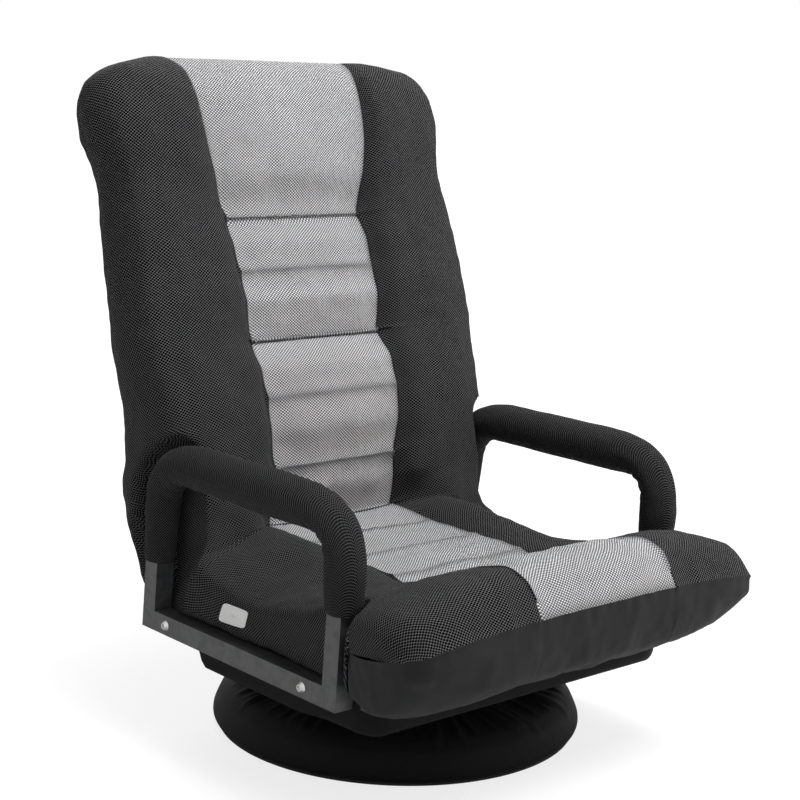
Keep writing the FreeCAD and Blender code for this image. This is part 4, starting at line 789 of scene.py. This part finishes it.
def arm_limit(points, turns, inside_arms):
    """Largest distance from the middle plane that points may have beside the arms, for each
    forward turn of the back; inside_arms holds in the loop of the arm."""
    line = arm_line()
    sleeved = ((line[:, 0] > 0) & (line[:, 1] > REAR_SLEEVE_FOOT)) | (line[:, 1] > FRONT_SLEEVE_FOOT)
    reach_of = moving_average(np.where(sleeved, SLEEVE_REACH, TUBE_REACH), 3)
    loop = np.vstack([line, line[:1]])
    limit = np.full(len(points), FAR_AWAY)
    for degrees in turns:
        a = math.radians(degrees)
        rel = loop - HINGE
        turned = np.stack([rel[:, 0] * math.cos(a) + rel[:, 1] * math.sin(a),
                           -rel[:, 0] * math.sin(a) + rel[:, 1] * math.cos(a)], axis=1) + HINGE
        away = np.hypot(*(points[:, k + 1][:, None] - turned[:-1, k][None] for k in range(2)))
        nearest = away.argmin(axis=1)
        away = away[np.arange(len(points)), nearest]
        reach = reach_of[nearest]
        inner = np.zeros(len(points), bool)
        for (y0, z0), (y1, z1) in zip(turned[:-1], turned[1:]):
            if abs(z1 - z0) < 1e-9:
                continue
            cross = (points[:, 2] > min(z0, z1)) & (points[:, 2] <= max(z0, z1))
            inner ^= cross & (points[:, 1] < y0 + (points[:, 2] - z0) * (y1 - y0) / (z1 - z0))
        tube = np.where(away < reach, ARM_X - np.sqrt(np.maximum(reach**2 - away**2, 0)),
                        ARM_X + 2.5 * (away - reach))
        inside = np.minimum(tube, np.minimum(inside_arms, ARM_X - reach + 0.6 * away))
        limit = np.minimum(limit, np.where(inner, inside, tube))
    return limit


def press_arms(points, turns, inside_arms, soft=7.0):
    """Draws cushion points in where the arms stand in their way."""
    far = np.where(np.abs(points[:, 0]) > 150)[0]
    if not len(far):
        return points
    part = points[far]
    limit = arm_limit(part, turns, inside_arms[far])
    x = np.abs(part[:, 0])
    h = np.clip(0.5 + 0.5 * (limit - x) / soft, 0, 1)
    part[:, 0] = np.sign(part[:, 0]) * (limit * (1 - h) + x * h - soft * h * (1 - h))
    points[far] = part
    return points


def make_cushion():
    """Grid of half of the whole cushion, from the panel's middle round to the rear's."""
    t = np.arange(0, T_END + ROW_STEP / 2, ROW_STEP)
    t = np.unique(np.concatenate([t, [0, 0.6, 1.8, BORDER_START, T_END], [at for at, _ in STITCHED]]))
    return t, np.array([smooth_section(control) for control in cushion_control(t)])


def smooth_section(control):
    """One section: a crowned panel, then a smooth line round the cover."""
    crown = control[0] - control[1]
    share = np.linspace(0, 1, PANEL_STEPS + 1)[:, None]
    panel = control[1] * share + control[0] * (1 - share)
    panel[:, 1:] = control[1][1:] + crown[1:] * (1 - share**2.6)
    cover = smooth_line(control[1:], SPANS[1:])
    return np.vstack([panel, cover[1:]])


def mirrored(grid):
    """A grid on the other side of the middle plane."""
    return grid * np.array((-1, 1, 1))


def full_width(half):
    """A half grid with its mirror image, joined at the middle plane."""
    return np.concatenate([mirrored(half)[:, :0:-1], half], axis=1)


def dress_cushion():
    """The cushion with channels, seams, ripples and puckers, and for each point a weight of painted shade
    by how near it is to a sewn line.
    """
    t, grid = make_cushion()
    rows, columns = grid.shape[:2]
    normals = grid_normals(grid)
    column = np.arange(columns)
    panel = column <= PANEL_STEPS
    from_seam = np.abs(column - PANEL_STEPS)
    sewn = (t < SEAM_END)[:, None]
    deep = channel(t, DEEP, 5.0)
    shallow = channel(t, SHALLOW, 3.4)
    sink = deep[:, None] * np.where(panel, 1.0, np.exp(-from_seam / 5.0) * 0.8)
    sink += shallow[:, None] * panel
    sink *= column < CHANNEL_COLUMN
    sink += 3.2 * np.exp(-from_seam / 1.1) * sewn
    border = np.exp(-np.abs(t - BORDER_START) / 3.0)[:, None]
    sink += 1.8 * border * (column > PANEL_STEPS) * (column < BORDER_COLUMN)
    ends = np.clip(t / 22, 0, 1)[:, None]
    grid = grid - normals * (sink * ends)[:, :, None]
    flat = grid.reshape(-1, 3)
    ripple = fractal(flat, 55, 3.1, 3) * 1.9 + fractal(flat * np.array((1, 1, 0.45)), 17, 9.4, 2) * 0.7
    ripple = ripple.reshape(rows, columns)
    near_stitches = np.minimum(channel(t, STITCHED, 9.0), 1)[:, None]
    pucker = np.sin(grid[:, :, 0] / 5.1 + 0.7 * fractal(flat, 30, 5.0, 2).reshape(rows, columns) * 6)
    ripple += 0.55 * pucker * near_stitches * panel
    calm = np.where(column > REAR_COLUMN, 0.3, 1.0)
    calm[PANEL_STEPS] = 0.2
    grid = grid + normals * (ripple * calm * ends)[:, :, None]
    grid[:, 0, 0] = 0
    grid[:, -1, 0] = 0
    stitches = np.minimum(channel(t, STITCHED, 2.6), 1)[:, None]
    # Painted shade weight: full at the panel's side seam and along the stitched channels
    seam_shade = np.clip(np.exp(-from_seam / 0.9) * sewn + stitches * panel, 0, 1)
    return t, grid, seam_shade


t_rows, half_grid, half_seam_shade = dress_cushion()
front_rows = t_rows <= BORDER_START
border_rows = t_rows >= BORDER_START


def blend_cushion(item):
    """Bakes a piece's transform into its mesh points."""
    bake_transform(item)


def clear_of_arms(grid, t):
    """Draws the rows of the back and of the seat clear of the arms."""
    out = grid.copy()
    for rows, turns in ((t < CREASE_START, (0, 2, 4, 6)), (t >= CREASE_START, (0,))):
        flat = out[rows].reshape(-1, 3)
        inside_arms = np.interp(t[rows], (534, 580), (201.0, 224.5)).repeat(out.shape[1])
        if len(flat):
            out[rows] = press_arms(flat, turns, inside_arms).reshape(out[rows].shape)
    return out


SAG_DROP = 13


def sag(grid):
    """The front's right corner hangs a little lower than the left one."""
    out = grid.copy()
    across = np.clip((-out[:, :, 0] - 90) / 110, 0, 1)
    low = np.clip((190 - out[:, :, 2]) / 40, 0, 1)
    ahead = np.clip((-198 - out[:, :, 1]) / 30, 0, 1)
    out[:, :, 2] -= SAG_DROP * across * across * (3 - 2 * across) * low * ahead
    return out


panel_grid = full_width(half_grid[front_rows][:, :PANEL_STEPS + 1])
# Weights of painted shade along the seams, for the panel and for each side
panel_seam_shade = half_seam_shade[front_rows][:, :PANEL_STEPS + 1]
panel_seam_shade = np.concatenate([panel_seam_shade[:, :0:-1], panel_seam_shade], axis=1)
panel = add_grid("center_panel_cloth", panel_grid, GREY_MESH, uv=laid_uv(panel_grid), seam_shade=panel_seam_shade)
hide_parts("back_center_panel", "seat_center_panel", "seat_foam")
cover_half = clear_of_arms(half_grid[:, PANEL_STEPS:], t_rows)
side_columns = SIDE_END - PANEL_STEPS + 1
cover_pieces = [panel]
for name, sign in (("r", -1), ("l", 1)):
    side = cover_half[front_rows][:, :side_columns] * np.array((sign, 1, 1))
    seam_shade = half_seam_shade[front_rows][:, PANEL_STEPS:PANEL_STEPS + side_columns]
    item = add_grid("side_cloth_" + name, side, BLACK_MESH, uv=laid_uv(side), seam_shade=seam_shade)
    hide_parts("back_bolster_" + name, "seat_side_cover_" + name)
    cover_pieces.append(item)
rear_half = cover_half[t_rows <= REAR_END][:, side_columns - 1:]
rear = np.concatenate([rear_half, mirrored(rear_half)[:, -2::-1]], axis=1)
rear_cloth = add_grid("rear_cloth", rear, BLACK_MESH, uv=laid_uv(rear))
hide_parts("back_rear_cover", "back_roll_cover", "back_foam", "back_roll_foam")
cover_pieces.append(rear_cloth)
border_half = half_grid[border_rows].copy()
border_half[:, PANEL_STEPS:] = clear_of_arms(border_half[:, PANEL_STEPS:], t_rows[border_rows])
border_half = border_half[:, :SIDE_END + 1]
border = sag(full_width(border_half))
border_cloth = add_grid("front_border_cloth", border, BORDER_CLOTH)
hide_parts("seat_front_border")
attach(border_cloth, "seat")
for item in cover_pieces:
    blend_cushion(item)

# Arm sleeves

SLEEVE_STEPS = 56


def make_sleeve(name, sign):
    """Padded sleeve round the arm: swells between its ends, wrinkles inside the bends."""
    line = arm_line(2.4)
    run = run_of(line)
    first = np.argmax(line[:, 1] > REAR_SLEEVE_FOOT + 0.5)
    last = len(line) - 1 - np.argmax(line[::-1, 1] > FRONT_SLEEVE_FOOT)
    line, run = line[first:last + 1], run[first:last + 1]
    run = run - run[0]
    along = np.gradient(line, axis=0)
    along /= np.linalg.norm(along, axis=1, keepdims=True)
    turn = np.abs(np.gradient(np.unwrap(np.arctan2(along[:, 1], along[:, 0])), run))
    bent = np.minimum(turn * 40, 1)
    bend = moving_average(bent, 6)
    total = run[-1]
    radius = curve_values([(0, 16.4), (4, 17.0), (30, 17.8), (60, 19.4), (90, 21.4), (130, 23.2),
                           (190, 23.4), (total - 180, 23.8), (total - 120, 23.0), (total - 70, 21.6),
                           (total - 30, 20.6), (total - 8, 18.6), (total, 16.2)], run)
    outward = np.stack([along[:, 1], -along[:, 0]], axis=1)
    grid = np.zeros((len(run), SLEEVE_STEPS, 3))
    for c in range(SLEEVE_STEPS):
        a = 2 * math.pi * c / SLEEVE_STEPS
        inside, outside = max(0.0, -math.sin(a)), max(0.0, math.sin(a))
        wrinkle = 0.9 * np.sin(run / 3.4 + 1.7 * math.sin(3 * a + 0.4)) * bent * inside
        r = radius + wrinkle - 5.6 * outside * bend
        grid[:, c, 0] = sign * (ARM_X + r * math.cos(a))
        grid[:, c, 1] = line[:, 0] + outward[:, 0] * r * math.sin(a)
        grid[:, c, 2] = line[:, 1] + outward[:, 1] * r * math.sin(a)
    lumps = fractal(grid.reshape(-1, 3), 34, 2.0 + sign, 3).reshape(len(run), SLEEVE_STEPS)
    centre = np.stack([np.full(len(run), sign * ARM_X), line[:, 0], line[:, 1]], axis=1)[:, None, :]
    grid = centre + (grid - centre) * (1 + 0.022 * lumps)[:, :, None]
    turned_in = []
    for rim in (grid[0], grid[-1]):
        middle = rim.mean(axis=0)
        turned_in.append([middle + (rim - middle) * k for k in (0.93, 0.78)])
    grid = np.concatenate([turned_in[0][::-1], grid, turned_in[1]])
    if sign < 0:
        grid = grid[:, ::-1]
    item = add_grid("arm_sleeve_cloth_" + name, grid, SLEEVE_MESH, close_columns=True)
    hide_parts("arm_sleeve_" + name, "arm_foam_" + name)
    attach(item, "seat")


make_sleeve("r", -1)
make_sleeve("l", 1)

# Base cover and tray

# Radius and height down the middle of the base cover, from under its rim to the swivel
COVER_LINE = [
    (187, 1.2), (194, 1.0), (199, 2.2), (203.5, 5.2), (205.8, 9.5), (205.6, 15), (203.6, 21), (200.5, 28),
    (197.5, 34), (192.5, 39), (186.5, 43.6), (176, 46.8), (160, 50.2), (140, 54), (118, 57.8), (98, 60.6),
    (80, 61.4), (66, 61.6),
]
COVER_STEPS = 420


def ring_noise(a, size, z, octaves):
    """Smooth noise round a circle that ends where it starts."""
    return noise.fractal(Vector((math.cos(a) * size, math.sin(a) * size, z)), 0.7, 2.0, octaves)


def limited(value):
    """A value kept between 0 and 1."""
    return min(1.0, max(0.0, value))


def make_base_cover():
    """Cloth gathered over the ring tube and the pan: folds grow towards the middle."""
    profile = smooth_line(np.array(COVER_LINE, float), [4] * (len(COVER_LINE) - 1))
    grid = np.zeros((len(profile), COVER_STEPS, 3))
    for c in range(COVER_STEPS):
        a = 2 * math.pi * c / COVER_STEPS
        for r, (radius, z) in enumerate(profile):
            loose = limited((z - 16) / 26)
            wide = ring_noise(a, 4.6, z * 0.016, 3)
            fine = ring_noise(a, 17, z * 0.03 + 5, 2)
            crumple = limited((190 - radius) / 14) * limited((radius - 96) / 20)
            ridge = max(1 - abs(ring_noise(a, 9, z * 0.022 + 9, 2)) * 2.4, 0.0)
            fold = max(2.6 * wide + 1.4 * fine + 4.6 * ridge * crumple - 1.2, -0.4)
            out = radius + fold * loose * 0.6 * (1 - crumple)
            grid[r, c] = (out * math.cos(a), out * math.sin(a), z + fold * loose * 0.7)
    grid[:, :, 2] = np.maximum(grid[:, :, 2], 0.6)
    item = add_grid("base_cover_cloth", grid[:, ::-1], BASE_CLOTH, close_columns=True)
    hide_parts("base_cover")
    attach(item, "base")


make_base_cover()


def make_tray():
    """Cloth tray under the seat: rounded along its bottom edges, open towards the back."""
    low, high = (np.array(v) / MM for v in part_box("seat_tray"))
    half, front, floor_z, top = high[0], low[1], low[2], high[2]
    plan, edge, front_lift, rise_start = 30.0, 13.0, 2.5, 70

    def half_at(y):
        short = max(0.0, plan - (y - front))
        return half - plan + math.sqrt(plan**2 - short**2)

    def wall_and_bend(side, inward, low_end, radius):
        """Points down a wall and round the quarter bend at its foot."""
        line = [(side, top - k * (top - low_end - radius) / 6) for k in range(7)]
        for a in (math.radians(15 * k) for k in range(1, 7)):
            line.append((side + inward * radius * (1 - math.cos(a)), low_end + radius * (1 - math.sin(a))))
        return line

    stations = wall_and_bend(front, 1, floor_z + front_lift, edge)
    ahead = [front + step for step in (16, 20, 25, 30)]
    for y in (*ahead, *range(-165, rise_start, 9), *range(rise_start, rise_start + 31, 6)):
        rise = limited((y - rise_start) / 30)
        lift = front_lift * limited((-y - 90) / 80)
        stations.append((y, floor_z + lift + (top - floor_z - 4) * rise * rise * (3 - 2 * rise)))
    grid = []
    for y, bottom in stations:
        side = half_at(y)
        bend = min(4 + 9 * limited((-y - 90) / 40), max(0.5, (top - bottom) * 0.5))
        right = wall_and_bend(side, -1, bottom, bend)
        right += [((side - bend) * (1 - k / 24), bottom) for k in range(1, 25)]
        line = right + [(-x, z) for x, z in right[-2::-1]]
        grid.append([(x, y, z) for x, z in line])
    grid = np.array(grid)
    wave = fractal(grid.reshape(-1, 3), 60, 7.0, 2).reshape(grid.shape[:2])
    wall = np.clip((grid[:, :, 2] - floor_z) / 12, 0, 1)
    grid[:, :, 0] += np.sign(grid[:, :, 0]) * (wave + 1) * 0.5 * wall
    item = add_grid("seat_tray_cloth", grid, TRAY_CLOTH)
    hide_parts("seat_tray")
    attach(item, "seat")


make_tray()

# Side tag

TAG_CORNERS = np.array([(25.0, 167.0), (-19.0, 168.0), (-13.0, 148.0), (34.0, 145.0)])
TAG_STEPS, TAG_POWER = 72, 7
TAG_LIFT, TAG_THICKNESS = 0.8, 0.7
SEAT_SIDE_X = -224.0


def make_tag(cloth):
    """Blank white label with rounded corners, lying on the seat's side."""
    rings = []
    for out in (0.002, 0.3, 0.55, 0.75, 0.88, 0.95, 1.0):
        ring = []
        for k in range(TAG_STEPS):
            a = 2 * math.pi * k / TAG_STEPS
            x, y = math.cos(a), math.sin(a)
            scale = out / (abs(x) ** TAG_POWER + abs(y) ** TAG_POWER) ** (1 / TAG_POWER)
            u, v = (x * scale + 1) / 2, (1 - y * scale) / 2
            upper = TAG_CORNERS[0] * (1 - u) + TAG_CORNERS[1] * u
            lower = TAG_CORNERS[3] * (1 - u) + TAG_CORNERS[2] * u
            yz = upper * (1 - v) + lower * v
            hit, place, _, _ = cloth.ray_cast(Vector((-0.3, yz[0] * MM, yz[1] * MM)), Vector((1, 0, 0)))
            ring.append(((place.x / MM if hit else SEAT_SIDE_X) - TAG_LIFT, yz[0], yz[1]))
        rings.append(ring)
    grid = np.array(rings)
    grid[:, :, 0] = 0.5 * grid[:, :, 0] + 0.5 * grid[:, :, 0].min()
    item = add_grid("blank_tag_cloth", grid[:, ::-1], WHITE_CLOTH, close_columns=True)
    thick = item.modifiers.new("thickness", "SOLIDIFY")
    thick.thickness = TAG_THICKNESS * MM
    thick.offset = 0
    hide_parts("side_tag")
    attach(item, "seat")


make_tag(bpy.data.objects["side_cloth_r"])

# Nodes that keep their solids


def plain_uv(item):
    """Metric UVs by each face's main direction, for cloth on a CAD node."""
    mesh = item.data
    layer = mesh.uv_layers.get("metric") or mesh.uv_layers.new(name="metric")
    for face in mesh.polygons:
        n = face.normal
        axis = max(range(3), key=lambda k: abs(n[k]))
        keep = [k for k in range(3) if k != axis]
        for loop in face.loop_indices:
            p = mesh.vertices[mesh.loops[loop].vertex_index].co
            layer.data[loop].uv = (p[keep[0]], p[keep[1]])


MATERIAL_NODES = (
    (BLACK_PAINT, ("base_ring_tube", "base_pan", "cross_bars", "seat_frame", "back_frame",
                   "hinge_plate_r", "hinge_plate_l")),
    (GREY_PAINT, ("arm_frame_r", "arm_frame_l")),
    (ZINC, ("lower_swivel_plate", "upper_swivel_plate", "base_bolts", "swivel_bolts", "arm_bolts",
            "hinge_sector_r", "hinge_sector_l", "pawl_lever_r", "pawl_lever_l")),
    (STEEL, ("swivel_balls", "swivel_pivot", "hinge_pins", "pawl_pins", "pawl_spring_r", "pawl_spring_l")),
    (TRAY_CLOTH, ("seat_webbing", "back_webbing")),
    (RUBBER, ("floor_ring",)),
    (NYLON, ("ball_cage",)),
)
for material, labels in MATERIAL_NODES:
    for label in labels:
        item = nodes[label]
        if material is TRAY_CLOTH:
            plain_uv(item)
        for slot in item.material_slots:
            slot.material = material
